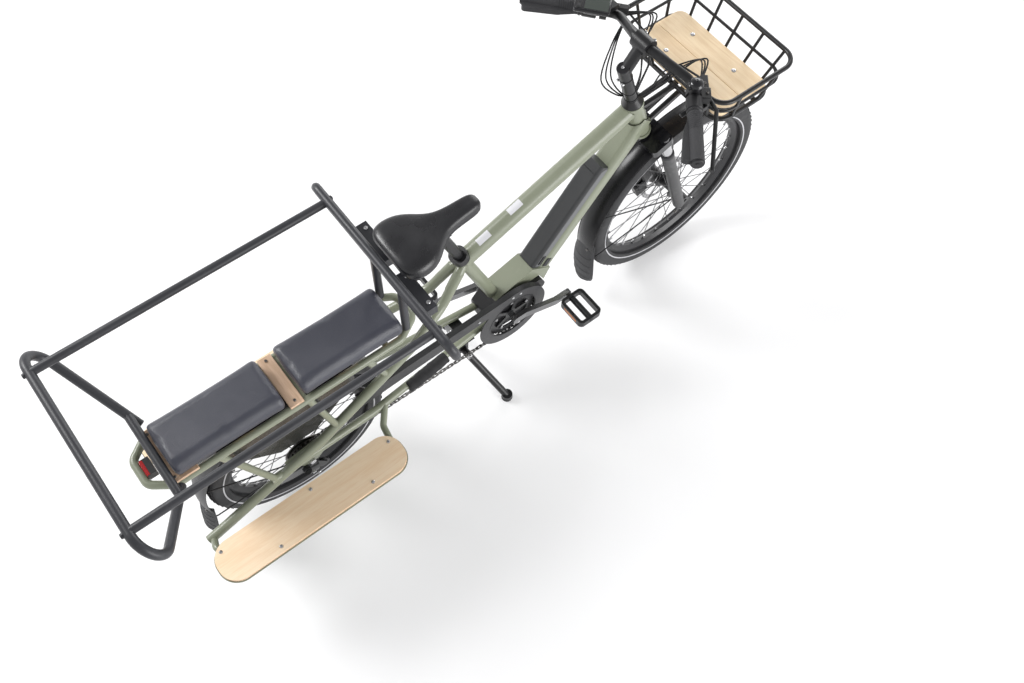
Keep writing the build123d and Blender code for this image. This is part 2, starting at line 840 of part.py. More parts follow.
right_pedal_axle = crank_axle + Vector(crank_length, -arm_side, 0)
left_pedal_axle = crank_axle + Vector(-crank_length, arm_side, 0)
spindle = cross_bar(crank_axle, spindle_radius, spindle_length)
crank_arms = joined(crank_arm(1, -1), crank_arm(-1, 1), spindle)
save(crank_arms, "crank_arms")


def pedal(axle, side):
    """Cage pedal round its own axle, whose inner end turns in the crank arm."""
    near = side * (arm_thickness / 2 + pedal_gap)
    far = near + side * pedal_width
    middle = axle + Vector(0, (near + far) / 2, 0)
    with BuildPart() as cage:
        with BuildSketch(Plane(origin=middle - Vector(0, 0, pedal_height / 2))):
            RectangleRounded(pedal_length, pedal_width, pedal_corner)
            RectangleRounded(
                pedal_length - pedal_bar * 2,
                pedal_width - pedal_bar * 2,
                pedal_corner - pedal_bar,
                mode=Mode.SUBTRACT,
            )
        extrude(amount=pedal_height)
        arm_face = axle - Vector(0, side * arm_thickness / 2, 0)
        add(rod([arm_face, axle + Vector(0, far - side, 0)], pedal_axle_radius))
        add(rod([axle + Vector(0, near + side, 0), axle + Vector(0, far - side, 0)], pedal_bar))
    return cage.part


save(pedal(right_pedal_axle, -1), "pedal_right")
save(pedal(left_pedal_axle, 1), "pedal_left")

# Chain as one closed loop, and the guard outside it
chain_depth = 7.0
chain_height = 8.0
chain_clearance = 5.0
chain_ring_reach = ring_radius + fit_gap
chain_cog_radius = cassette_top_radius - cassette_step_radius - cassette_step_radius + fit_gap


def belt(front_radius, rear_radius, depth, side):
    """Solid belt outline round the crank axle and the rear axle."""
    span = crank_axle - rear_axle
    slope = math.atan2(span.Z, span.X)
    spread = math.acos((front_radius - rear_radius) / math.hypot(span.X, span.Z))
    corners = []
    for centre, radius in ((crank_axle, front_radius), (rear_axle, rear_radius)):
        for turn in (slope + math.pi - spread, slope + math.pi + spread):
            corners.append((centre.X + radius * math.cos(turn), centre.Z + radius * math.sin(turn)))
    upper_front, lower_front, upper_rear, lower_rear = corners
    nose = (crank_axle.X + front_radius * math.cos(slope), crank_axle.Z + front_radius * math.sin(slope))
    tail = (rear_axle.X - rear_radius * math.cos(slope), rear_axle.Z - rear_radius * math.sin(slope))
    with BuildPart() as strip:
        with BuildSketch(Plane.XZ.offset(-side - depth / 2)):
            with BuildLine():
                Line(upper_rear, upper_front)
                ThreePointArc(upper_front, nose, lower_front)
                Line(lower_front, lower_rear)
                ThreePointArc(lower_rear, tail, upper_rear)
            make_face()
        extrude(amount=depth)
    return strip.part


chain = trimmed(
    belt(chain_ring_reach + chain_height, chain_cog_radius + chain_height, chain_depth, chain_side),
    belt(chain_ring_reach, chain_cog_radius, chain_depth * 2, chain_side),
)
save(chain, "chain")

guard_radius = 113.0
guard_inner_radius = 78.0
guard_wall = 3.0
guard_in = -motor_width / 2 - fit_gap
guard_depth = 16.7
cover_reach = 504.0
cover_fall = 12.0
cover_height = 50.0
guard_out = guard_in - guard_depth
cover_rear_x = crank_axle_x - cover_reach
cover_front_top = crank_axle_z + guard_radius - running_gap
cover_rear_top = cover_front_top - cover_fall
cover_rear_low = cover_rear_top - cover_height
cover_outline = [
    (crank_axle_x, cover_front_top),
    (cover_rear_x, cover_rear_top),
    (cover_rear_x, cover_rear_low),
    (crank_axle_x, crank_axle_z + guard_inner_radius),
]
cover_depth = guard_in - guard_out
cover_middle = (guard_in + guard_out) / 2
with BuildPart() as guard_disc:
    with BuildSketch(Plane(origin=crank_axle + Vector(0, guard_in, 0), x_dir=(1, 0, 0), z_dir=(0, -1, 0))):
        Circle(guard_radius)
    extrude(amount=cover_depth)
cover_block = joined(guard_disc.part, side_plate(cover_outline, cover_depth, cover_middle))
with BuildPart() as guard_hollow:
    with BuildSketch(Plane(origin=crank_axle + Vector(0, guard_in, 0), x_dir=(1, 0, 0), z_dir=(0, -1, 0))):
        Circle(guard_radius - guard_wall)
    extrude(amount=cover_depth - guard_wall)
    with BuildSketch(Plane(origin=crank_axle + Vector(0, guard_in, 0), x_dir=(1, 0, 0), z_dir=(0, -1, 0))):
        Circle(guard_inner_radius)
    extrude(amount=cover_depth)
cover_hollow_outline = [
    (crank_axle_x, cover_front_top - guard_wall),
    (cover_rear_x - cut_overrun, cover_rear_top - guard_wall),
    (cover_rear_x - cut_overrun, cover_rear_low - cut_overrun),
    (crank_axle_x, crank_axle_z),
]
hollow_depth = cover_depth - guard_wall
cover_hollow = side_plate(cover_hollow_outline, hollow_depth, guard_in - hollow_depth / 2)
chain_room = belt(
    chain_ring_reach + chain_height + chain_clearance,
    chain_cog_radius + chain_height + chain_clearance,
    hollow_depth,
    guard_in - hollow_depth / 2,
)
with BuildPart() as lower_room:
    with Locations((crank_axle_x, cover_middle + guard_wall, crank_axle_z - guard_radius)):
        Box(guard_radius * 3, cover_depth, guard_radius * 2)
chain_cover = trimmed(cover_block, guard_hollow.part, cover_hollow, chain_room, lower_room.part)
save(chain_cover, "chain_cover")

# Derailleur below the right dropout
jockey_radius = 17.0
jockey_bore_radius = 5.0
jockey_width = 8.0
cage_thickness = 3.0
cage_width = 20.0
cage_ahead = 6.0
cage_drop = 75.5
cage_swing = 28.0
cage_length = 48.0
knuckle_behind = 22.0
knuckle_drop = 25.5
cage_top = rear_axle + Vector(cage_ahead, chain_side, -cage_drop)
cage_low = cage_top + Vector(cage_swing, 0, -cage_length)
knuckle_radius = 11.0
dropout_face = dropout_side - dropout_thickness / 2
knuckle_top = rear_axle + Vector(-knuckle_behind, dropout_face - knuckle_radius, -knuckle_drop)
knuckle_side = chain_side - jockey_width / 2 - cage_thickness
knuckle_low = Vector(cage_top.X, knuckle_side - knuckle_radius, cage_top.Z)
with BuildPart() as derailleur:
    for jockey in (cage_top, cage_low):
        add(cross_bar(jockey, jockey_radius, jockey_width))
        add(cross_bar(jockey, jockey_bore_radius, jockey_width + cage_thickness * 2))
    for plate_side in (-1, 1):
        offset = Vector(0, plate_side * (jockey_width + cage_thickness) / 2, 0)
        for jockey in (cage_top, cage_low):
            add(cross_bar(jockey + offset, cage_width / 2, cage_thickness))
        add(side_plate(
            [
                (cage_top.X - cage_width / 2, cage_top.Z),
                (cage_low.X - cage_width / 2, cage_low.Z),
                (cage_low.X + cage_width / 2, cage_low.Z),
                (cage_top.X + cage_width / 2, cage_top.Z),
            ],
            cage_thickness,
            chain_side + plate_side * (jockey_width + cage_thickness) / 2,
        ))
    add(rod([knuckle_top, knuckle_low], knuckle_radius))
    add(rod([knuckle_low, Vector(knuckle_low.X, knuckle_side, knuckle_low.Z)], knuckle_radius))
    add(rod([knuckle_top, Vector(knuckle_top.X, dropout_face - fit_gap, knuckle_top.Z)], knuckle_radius))
save(derailleur.part, "derailleur")

# Mudguards
guard_thickness = 2.5
guard_drop = 10.0
guard_stay_radius = 2.5


def spin_point(axle, radius, turn, side):
    """Point round an axle, turned up from straight ahead."""
    angle = math.radians(turn)
    return axle + Vector(radius * math.cos(angle), side, radius * math.sin(angle))


def make_guard(axle, radius, width, start, end):
    """Curved guard strip round a wheel from a start angle to an end angle."""
    first = math.radians(start)
    half = width / 2
    inside = radius - guard_thickness
    plane = Plane(origin=axle, x_dir=(0, 1, 0), z_dir=(math.sin(first), 0, -math.cos(first)))
    with BuildPart() as strip:
        with BuildSketch(plane):
            with BuildLine():
                ThreePointArc((-half, radius - guard_drop), (0, radius), (half, radius - guard_drop))
                Line((half, radius - guard_drop), (half - guard_thickness, radius - guard_drop))
                ThreePointArc(
                    (half - guard_thickness, radius - guard_drop),
                    (0, inside),
                    (guard_thickness - half, radius - guard_drop),
                )
                Line((guard_thickness - half, radius - guard_drop), (-half, radius - guard_drop))
            make_face()
        revolve(axis=Axis(axle, (0, -1, 0)), revolution_arc=end - start)
    return strip.part


rear_guard_radius = rear_tyre_radius + rear_guard_gap
rear_guard_width = 66.0
rear_guard_start = 8.0
rear_guard_end = 212.0
rear_guard_tab_x = cross_places[1]
flap_length = 12.0
flap_thickness = 1.2
flap_width = 86.0
rear_guard = make_guard(rear_axle, rear_guard_radius, rear_guard_width, rear_guard_start, rear_guard_end)
rear_stay_turns = [150.0, 190.0]
stay_hold = rear_guard_width / 2 - guard_thickness
rear_guard_stays = []
stay_top_radius = rear_guard_radius - guard_drop + guard_thickness
stay_foot_side = -dropout_side - dropout_thickness
for turn in rear_stay_turns:
    for side in (-1, 1):
        stay_top = spin_point(rear_axle, stay_top_radius, turn, side * stay_hold)
        stay_foot = spin_point(rear_axle, axle_nut_radius * 3, turn, side * stay_foot_side)
        rear_guard_stays.append(rod([stay_top, stay_foot], guard_stay_radius))
with BuildPart() as rear_guard_tab:
    tab_low = rear_axle.Z + rear_guard_radius - guard_drop
    tab_high = rail_height - cross_radius - fit_gap
    with Locations((rear_guard_tab_x, 0, (tab_low + tab_high) / 2)):
        Box(rail_radius * 2, rail_side / 2, tab_high - tab_low)
rear_guard_under = cross_bar(rear_axle, rear_guard_radius - guard_thickness, rear_guard_width)
rear_guard_tab_body = trimmed(rear_guard_tab.part, rear_guard_under)
rear_flap = make_guard(
    rear_axle,
    rear_guard_radius + flap_thickness,
    flap_width,
    rear_guard_end - flap_length,
    rear_guard_end,
)
rear_guard_whole = joined(rear_guard, rear_flap, rear_guard_tab_body, *rear_guard_stays)
rear_mudguard = trimmed(rear_guard_whole, rear_frame_right, rear_frame_left)
save(rear_mudguard, "rear_mudguard")

front_guard_radius = front_tyre_radius + front_guard_gap
front_guard_width = 66.0
front_guard_start = 62.0
front_guard_end = 216.0
front_guard = make_guard(
    front_axle, front_guard_radius, front_guard_width, front_guard_start, front_guard_end
)

# Smoked skirts beside the rear wheel
skirt_side = 51.0
skirt_thickness = 2.0
skirt_flange = 8.0
skirt_height = 215.0
skirt_step = 97.0
skirt_ahead = 176.0
skirt_behind = 190.0
skirt_top = rail_height - running_gap
skirt_low = skirt_top - skirt_height
skirt_front_x = rear_axle.X + skirt_ahead
skirt_rear_x = rear_axle.X - skirt_behind
skirt_front_low = skirt_top - skirt_step
skirt_outline = [
    (skirt_front_x, skirt_top),
    (skirt_rear_x, skirt_top),
    (skirt_rear_x, skirt_front_low),
    ((skirt_front_x + skirt_rear_x) / 2 - skirt_side, skirt_low),
    ((skirt_front_x + skirt_rear_x) / 2 + skirt_side, skirt_low),
    (skirt_front_x, skirt_front_low),
]
with BuildPart() as skirt_lip:
    with Locations((
        (skirt_front_x + skirt_rear_x) / 2,
        -skirt_side - skirt_flange / 2,
        skirt_top - skirt_thickness / 2,
    )):
        Box(skirt_front_x - skirt_rear_x, skirt_flange, skirt_thickness)
skirt_right = trimmed(joined(side_plate(skirt_outline, skirt_thickness, -skirt_side), skirt_lip.part), rack)
save(joined(skirt_right, mirrored(skirt_right)), "wheel_skirts")

# Tail light inside the rear loop
light_width = 44.0
light_depth = 22.0
light_height = 22.0
with BuildPart() as tail_light:
    with Locations((rear_loop_x + rail_radius + fit_gap + light_depth / 2, 0, rail_height)):
        Box(light_depth, light_width, light_height)
save(tail_light.part, "tail_light")

# Fork
leg_side = 58.0
leg_forward = 28.0
leg_radius = 18.0
leg_low = -12.0
leg_high = 330.0
stanchion_radius = 15.0
crown_gap = 49.0
crown_height = 26.0
crown_low = front_tyre_radius + front_guard_gap + crown_gap
crown_high = crown_low + crown_height
crown_depth = 40.0
crown_corner = 12.0
cap_high = crown_high + crown_height / 2
cap_radius = 17.0
race_radius = 27.0
boss_radius = 14.0
boss_out = 72.0
arch_radius = 9.0
arch_along = 362.0
arch_forward = 46.0
arch_bend = 18.0
caliper_along = 62.0
caliper_forward = -2.0
caliper_side = 41.5
caliper_length = 70.0
caliper_depth = 34.0
caliper_width = 32.0
caliper_corner = 6.0
disc_slot_width = 14.0


def steer_plane(along, forward, side):
    """Plane square to the steering axis: first direction forward, second to the left."""
    return Plane(origin=steer_point(along, forward, side), x_dir=steer_ahead, z_dir=steer_up)


def steer_rod(start, end, radius):
    """Round bar between two places given as along, forward and side."""
    return rod([steer_point(*start), steer_point(*end)], radius)


with BuildPart() as fork_upper:
    add(steer_rod((crown_low, 0, 0), (head_high + cup_height + cup_height, 0, 0), steerer_radius))
    add(steer_rod((crown_high, 0, 0), (head_low - running_gap, 0, 0), race_radius))
    with BuildSketch(steer_plane(crown_low, leg_forward / 2, 0)):
        RectangleRounded(crown_depth + leg_forward, (leg_side + cap_radius + running_gap) * 2, crown_corner)
    extrude(amount=crown_high - crown_low)
    for side in (-leg_side, leg_side):
        leg_foot = (leg_high + fit_gap, leg_forward, side)
        leg_head = (crown_high, leg_forward, side)
        add(steer_rod(leg_foot, leg_head, stanchion_radius))
        add(steer_rod(leg_head, (cap_high, leg_forward, side), cap_radius))
save(fork_upper.part, "fork_upper")

disc_slot = cross_bar(front_axle + Vector(0, disc_offset, 0), disc_radius + chain_clearance + running_gap,
                      disc_slot_width)
lower_cutter = cross_bar(front_axle, axle_hole_radius, boss_out * 3)
with BuildPart() as caliper:
    with BuildSketch(steer_plane(caliper_along, caliper_forward, caliper_side)):
        RectangleRounded(caliper_depth, caliper_width, caliper_corner)
    extrude(amount=caliper_length)
with BuildPart() as fork_lowers:
    for side in (-1, 1):
        leg_across = side * leg_side
        add(steer_rod((leg_low, leg_forward, leg_across), (leg_high, leg_forward, leg_across), leg_radius))
        boss_in = Vector(0, side * (leg_side - leg_radius), 0)
        add(rod([front_axle + boss_in, front_axle + Vector(0, side * boss_out, 0)], boss_radius))
    add(rod(
        [
            steer_point(leg_high - leg_radius, leg_forward, -leg_side),
            steer_point(arch_along, arch_forward, -leg_side),
            steer_point(arch_along, arch_forward, leg_side),
            steer_point(leg_high - leg_radius, leg_forward, leg_side),
        ],
        arch_radius,
        arch_bend,
    ))
fork_lowers_body = trimmed(joined(fork_lowers.part, caliper.part), disc_slot, lower_cutter, fork_upper.part)
save(fork_lowers_body, "fork_lowers")

# Front mudguard with its tab under the crown and its wire stays
tab_width = 24.0
tab_thickness = 4.0
with BuildPart() as guard_tab:
    with BuildSketch(steer_plane(front_guard_radius - guard_drop, 0, 0)):
        Rectangle(tab_thickness, tab_width)
    extrude(amount=crown_low - fit_gap - front_guard_radius + guard_drop)
front_stay_turn = 178.0
front_guard_stays = []
for side in (-1, 1):
    stay_top = spin_point(front_axle, front_guard_radius - guard_drop + guard_thickness, front_stay_turn,
                          side * (front_guard_width / 2 - guard_thickness))
    stay_forward = leg_forward - leg_radius - guard_stay_radius - fit_gap
    stay_foot = steer_point(boss_radius * 3, stay_forward, side * leg_side)
    front_guard_stays.append(rod([stay_top, stay_foot], guard_stay_radius))
front_flap = make_guard(
    front_axle,
    front_guard_radius + flap_thickness,
    flap_width,
    front_guard_end - flap_length,
    front_guard_end,
)
front_guard_whole = joined(front_guard, front_flap, guard_tab.part, *front_guard_stays)
front_mudguard = trimmed(front_guard_whole, fork_lowers_body)
save(front_mudguard, "front_mudguard")

# Stem and handlebar
cone_low_radius = 27.0
cone_high_radius = 17.0
cone_height = 22.0
column_height = 158.0
column_radius = 16.0
stem_arm_radius = 15.0
cone_high = head_high + cone_height
column_high = head_high + column_height
clamp_bar_radius = 21.0
clamp_bar_width = 46.0
bar_radius = 11.0
stem_rise = 26.7
stem_reach = 64.9
bar_sweep = 105.0
bar_knee_ahead = 45.0
bar_knee_side = 128.0
bar_end_side = 303.0
bar_drop = 40.0
bar_clamp = steer_point(column_high + stem_rise, stem_reach, 0)
bar_knee_x = bar_clamp.X + bar_knee_ahead
bar_end_x = bar_clamp.X - bar_sweep
bar_z = bar_clamp.Z - bar_drop
bar_bend = 34.0
bar_flat_half = 30.0
cone_low = head_high + running_gap
with BuildPart() as stem:
    with BuildSketch(Plane(origin=steer_point(0, 0, 0), x_dir=steer_ahead, z_dir=(0, -1, 0))):
        Polygon(
            (0, cone_low),
            (cone_low_radius, cone_low),
            (cone_high_radius, cone_high),
            (column_radius, cone_high),
            (column_radius, column_high),
            (0, column_high),
            align=None,
        )
    revolve(axis=head_axis)
    add(rod([steer_point(column_high - column_radius, 0, 0), bar_clamp], stem_arm_radius))
    add(cross_bar(bar_clamp, clamp_bar_radius, clamp_bar_width))
bar_middle_cutter = cross_bar(bar_clamp, bar_radius + fit_gap, clamp_bar_width * 2)
stem_body = trimmed(stem.part, bar_middle_cutter, fork_upper.part)
save(stem_body, "stem")
bar_points = [
    Vector(bar_end_x, -bar_end_side, bar_z),
    Vector(bar_knee_x, -bar_knee_side, bar_z),
    Vector(bar_clamp.X, -bar_flat_half, bar_clamp.Z),
    Vector(bar_clamp.X, bar_flat_half, bar_clamp.Z),
    Vector(bar_knee_x, bar_knee_side, bar_z),
    Vector(bar_end_x, bar_end_side, bar_z),
]
handlebar = rod(bar_points, bar_radius, bar_bend)
save(handlebar, "handlebar")


def bar_point(share):
    """Point on the right bar's straight outer run, from knee to end."""
    return bar_points[1] + (bar_points[0] - bar_points[1]) * share


grip_start_share = 0.24
grip_radius = 16.5
wing_thickness = 13.0
wing_corner = 9.0
wing_drop = 3.0
# Columns: share along the bar, distance behind it
wing_shares = [(0.42, -14.0), (0.42, 12.0), (0.62, 27.0), (0.99, 34.0), (0.99, -14.0)]
bar_lean = (bar_points[0] - bar_points[1]).normalized()
bar_ahead = Vector(-bar_lean.Y, bar_lean.X, 0)
wing_outline = []
for bar_share, behind in wing_shares:
    corner = bar_point(bar_share) - bar_ahead * behind
    wing_outline.append((corner.X, corner.Y))
with BuildPart() as grip_wing:
    with BuildSketch(Plane.XY.offset(bar_z - wing_drop - wing_thickness / 2)) as wing_plan:
        Polygon(*wing_outline, align=None)
        fillet(wing_plan.vertices(), wing_corner)
    extrude(amount=wing_thickness)
grip_bar = rod([bar_point(grip_start_share), bar_point(1)], grip_radius)
grip_right = trimmed(joined(grip_bar, grip_wing.part), handlebar)
grips = joined(grip_right, mirrored(grip_right))
save(grips, "grips")

# Brake levers, display and bell on the bar
lever_radius = 5.0
lever_bend = 12.0
lever_ring_radius = 18.0
lever_ring_shares = (0.12, 0.19)
lever_root_share = 0.155
lever_reach = 36.0
lever_offset = 52.0
lever_drop = 10.0
lever_end_share = 1.02
display_length = 52.0
display_width = 38.0
display_height = 14.0
bell_radius = 15.0
drop = Vector(0, 0, -lever_drop)
ring_start, ring_end = lever_ring_shares
lever_root = bar_point(lever_root_share)
lever_right = trimmed(
    joined(
        rod([bar_point(ring_start), bar_point(ring_end)], lever_ring_radius),
        rod(
            [
                lever_root,
                lever_root + bar_ahead * lever_reach + drop,
                bar_point(lever_root_share * 2) + bar_ahead * lever_offset + drop,
                bar_point(lever_end_share) + bar_ahead * lever_reach + drop * 2,
            ],
            lever_radius,
            lever_bend,
        ),
    ),
    handlebar,
)
display_place = Vector(lever_root.X, -lever_root.Y, bar_z + lever_ring_radius + display_height / 2 - fit_gap)
with BuildPart() as display:
    with Locations(display_place):
        Box(display_width, display_length, display_height)
bell = rod([lever_root, lever_root + Vector(0, 0, lever_ring_radius + bell_radius)], bell_radius)
controls_right = joined(lever_right, trimmed(bell, handlebar))
controls = joined(controls_right, mirrored(lever_right), display.part)
save(controls, "bar_controls")

# Hoses from the levers into the headset cone, and the front brake hose
hose_radius = 2.6
hose_bend = 18.0
hose_run = 45.0
hose_ahead = 84.0
hose_side = 50.0
hose_drop = 35.0
hose_entry = steer_point(cone_high - cup_height, cone_high_radius, 0)
hose_start = lever_root + bar_ahead * lever_reach + drop
hose_right = rod(
    [
        hose_start,
        hose_start - bar_lean * hose_run,
        Vector(hose_entry.X + hose_ahead - hose_bend, -hose_side, bar_z - hose_drop),
        Vector(hose_entry.X + hose_side, -hose_side / 2, hose_entry.Z + hose_run),
        hose_entry - Vector(0, lever_radius, 0),
    ],
    hose_radius,
    hose_bend,
)
leg_hose = rod(
    [
        steer_point(crown_low - running_gap, leg_forward - leg_radius, leg_side),
        steer_point(leg_high, leg_forward - leg_radius - hose_radius - running_gap, leg_side),
        steer_point(caliper_along + caliper_length, caliper_forward, leg_side),
    ],
    hose_radius,
    hose_bend,
)
cables = trimmed(joined(hose_right, mirrored(hose_right), leg_hose), stem_body, controls, fork_lowers_body,
                 fork_upper.part)
save(cables, "cables")

# Front basket: tube frame, wooden floor and bracket on the head tube
basket_floor_z = 828.0
basket_rim_z = 925.0
basket_floor_rear_x = 592.0
basket_floor_front_x = 775.0
basket_floor_half = 168.0
basket_rim_rear_x = 558.0
basket_rim_front_x = 812.0
basket_rim_half = 186.0
basket_tube_radius = 6.0
basket_wire_radius = 4.0
basket_bend = 42.0
basket_mid_share = 0.5


def basket_loop(share, radius):
    """Closed loop of the basket at a share of its height."""
    front = basket_floor_front_x + (basket_rim_front_x - basket_floor_front_x) * share
    rear = basket_floor_rear_x + (basket_rim_rear_x - basket_floor_rear_x) * share
    half = basket_floor_half + (basket_rim_half - basket_floor_half) * share
    height = basket_floor_z + (basket_rim_z - basket_floor_z) * share
    corners = [
        Vector(rear, -half, height),
        Vector(front, -half, height),
        Vector(front, half, height),
        Vector(rear, half, height),
    ]
    with BuildPart() as loop:
        with BuildLine() as path:
            FilletPolyline(*corners, radius=basket_bend, close=True)
        with BuildSketch(Plane(origin=path.line @ 0, z_dir=path.line % 0)):
            Circle(radius)
        sweep()
    return loop.part


def basket_place(x_share, side_share, height_share):
    """Point on the basket's slanted walls."""
    front = basket_floor_front_x + (basket_rim_front_x - basket_floor_front_x) * height_share
    rear = basket_floor_rear_x + (basket_rim_rear_x - basket_floor_rear_x) * height_share
    half = basket_floor_half + (basket_rim_half - basket_floor_half) * height_share
    height = basket_floor_z + (basket_rim_z - basket_floor_z) * height_share
    return Vector(rear + (front - rear) * x_share, half * side_share, height)


# Shares of the long walls' half width and of the short walls' length
long_wall_shares = (-0.78, -0.39, 0.0, 0.39, 0.78)
short_wall_shares = (0.26, 0.74)
upright_places = [(x_share, side_share) for x_share in (0.0, 1.0) for side_share in long_wall_shares]
upright_places += [(x_share, side_share) for x_share in short_wall_shares for side_share in (-1.0, 1.0)]
uprights = []
for x_share, side_share in upright_places:
    uprights.append(rod(
        [basket_place(x_share, side_share, 0), basket_place(x_share, side_share, 1)],
        basket_wire_radius,
    ))
floor_bars = []
for x_share in (0.3, 0.7):
    floor_bars.append(rod([basket_place(x_share, -1, 0), basket_place(x_share, 1, 0)], basket_tube_radius))
bracket_side = 26.0
bracket_high_gap = 28.0
bracket_low_gap = 38.0
bracket_high = head_high - bracket_high_gap
bracket_low = head_low + bracket_low_gap
arm_radius = 8.0
head_front_cutter = rod([steer_point(head_low, 0, 0), steer_point(head_high, 0, 0)], head_radius + fit_gap)
bracket_parts = []
for side in (-bracket_side / 2, bracket_side / 2):
    for along, x_share in ((bracket_high, 0.0), (bracket_low, 0.7)):
        bracket_parts.append(rod(
            [steer_point(along, 0, side), basket_place(x_share, side / basket_floor_half, 0)],
            arm_radius,
        ))
slat_depth = 82.0
basket_slat_thickness = 10.0
slat_half = 160.0
with BuildPart() as basket_floor:
    for x_share in (0.26, 0.76):
        centre = basket_place(x_share, 0, 0)
        with Locations((centre.X, 0, centre.Z + basket_tube_radius + fit_gap + basket_slat_thickness / 2)):
            Box(slat_depth, slat_half * 2, basket_slat_thickness)
save(basket_floor.part, "basket_floor")

basket = trimmed(
    joined(
        basket_loop(0, basket_tube_radius),
        basket_loop(basket_mid_share, basket_wire_radius),
        basket_loop(1, basket_tube_radius),
        *uprights,
        *floor_bars,
        *bracket_parts,
    ),
    head_front_cutter,
    basket_floor.part,
)
save(basket, "basket")

# Two-leg centre stand and its mount under the stays
stand_behind = 139.0
stand_drop = 112.0
stand_foot_behind = 80.0
stand_pivot = crank_axle - Vector(stand_behind, 0, stand_drop)
stand_foot = Vector(crank_axle.X - stand_foot_behind, 0, 0)
stand_root_side = 30.0
stand_foot_side = 152.0
stand_leg_radius = 11.0
stand_foot_radius = 16.0
stand_foot_height = 12.0
stand_pin_radius = 9.0
cheek_side = 14.0
cheek_thickness = 6.0
cheek_length = 34.0
mount_plate_half = 46.0
mount_plate_thickness = 4.0
mount_top = stay_height - stay_radius - fit_gap
with BuildPart() as centre_stand:
    add(cross_bar(stand_pivot, stand_pin_radius, stand_root_side * 2))
    for side in (-1, 1):
        root = stand_pivot + Vector(0, side * stand_root_side, 0)
        foot = stand_foot + Vector(0, side * stand_foot_side, 0)
        lifted = foot + Vector(0, 0, stand_foot_height)
        add(rod([root, lifted], stand_leg_radius))
        add(rod([foot, lifted + Vector(0, 0, stand_foot_height)], stand_foot_radius))
        add(cross_bar(root, stand_leg_radius, stand_leg_radius * 2))
save(centre_stand.part, "centre_stand")
pin_cutter = cross_bar(stand_pivot, stand_pin_radius + fit_gap, stand_root_side * 2)
cheek_outline = [
    (stand_pivot.X - cheek_length / 2, mount_top),
    (stand_pivot.X + cheek_length / 2, mount_top),
    (stand_pivot.X + cheek_length / 2, stand_pivot.Z - stand_pin_radius - cheek_thickness),
    (stand_pivot.X - cheek_length / 2, stand_pivot.Z - stand_pin_radius - cheek_thickness),
]
with BuildPart() as mount_plate:
    with Locations((stand_pivot.X, 0, mount_top - mount_plate_thickness / 2)):
        Box(cheek_length, mount_plate_half * 2, mount_plate_thickness)
stand_mount = trimmed(
    joined(
        mount_plate.part,
        side_plate(cheek_outline, cheek_thickness, -cheek_side),
        side_plate(cheek_outline, cheek_thickness, cheek_side),
    ),
    pin_cutter,
)
save(stand_mount, "stand_mount")
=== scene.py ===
import json
import logging
import math
from collections.abc import Iterable, Sequence
from dataclasses import dataclass
from enum import Enum

import bmesh
import bpy
from mathutils import Matrix, Vector


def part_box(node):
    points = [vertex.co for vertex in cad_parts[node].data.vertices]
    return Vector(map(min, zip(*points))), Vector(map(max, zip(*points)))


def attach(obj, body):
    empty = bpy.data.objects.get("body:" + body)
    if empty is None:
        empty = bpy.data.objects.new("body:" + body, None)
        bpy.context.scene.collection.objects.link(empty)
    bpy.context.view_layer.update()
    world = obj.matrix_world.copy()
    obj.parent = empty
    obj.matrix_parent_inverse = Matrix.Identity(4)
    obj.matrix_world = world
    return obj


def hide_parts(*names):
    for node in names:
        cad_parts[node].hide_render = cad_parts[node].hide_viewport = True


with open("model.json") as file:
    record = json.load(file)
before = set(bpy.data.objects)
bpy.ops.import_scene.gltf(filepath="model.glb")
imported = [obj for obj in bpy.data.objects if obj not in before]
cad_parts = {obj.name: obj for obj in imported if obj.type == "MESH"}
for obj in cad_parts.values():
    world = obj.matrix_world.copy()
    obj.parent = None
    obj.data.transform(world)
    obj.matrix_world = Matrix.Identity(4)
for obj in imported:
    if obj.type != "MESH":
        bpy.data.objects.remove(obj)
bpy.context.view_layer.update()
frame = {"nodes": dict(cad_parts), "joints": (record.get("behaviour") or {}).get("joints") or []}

LOG = logging.getLogger("bike")
ACROSS = Vector((0.0, 1.0, 0.0))
UPWARD = Vector((0.0, 0.0, 1.0))
FORWARD = Vector((1.0, 0.0, 0.0))
BOTH_SIDES = (-1.0, 1.0)
LATHE_STEPS = 128

Colour = tuple[float, float, float]
Spot = tuple[Vector, Vector]


def vec(x: float, y: float, z: float) -> Vector:
    """Returns a vector in the frame's axes.

    Args:
        x: Its part along the bike, forwards.
        y: Its part across the bike, to the left.
        z: Its part upwards.

    Returns:
        The vector.
    """
    return Vector((x, y, z))


def joint_of(name: str) -> dict[str, object]:
    """Finds a joint of the frame.

    Args:
        name: The joint's name in the record.

    Returns:
        The joint's entry.
    """
    return next(joint for joint in frame["joints"] if joint["name"] == name)


FRONT_AXLE = Vector(joint_of("front_wheel_spin")["pos_m"])
REAR_AXLE = Vector(joint_of("rear_wheel_spin")["pos_m"])
CRANK_AXLE = Vector(joint_of("crank_spin")["pos_m"])
HEAD_POINT = Vector(joint_of("steering")["pos_m"])
STEER_UP = Vector(joint_of("steering")["axis"]).normalized()
STEER_AHEAD = ACROSS.cross(STEER_UP).normalized()
STEER_ROOT = HEAD_POINT + STEER_UP * (FRONT_AXLE - HEAD_POINT).dot(STEER_UP)


def steer_point(along: float, forward: float, side: float) -> Vector:
    """Returns a point measured from the steering axis.

    Args:
        along: Distance up the axis from beside the front axle.
        forward: Distance ahead of the axis.
        side: Distance to the rider's left.

    Returns:
        The point, in metres.
    """
    return STEER_ROOT + STEER_UP * along + STEER_AHEAD * forward + ACROSS * side


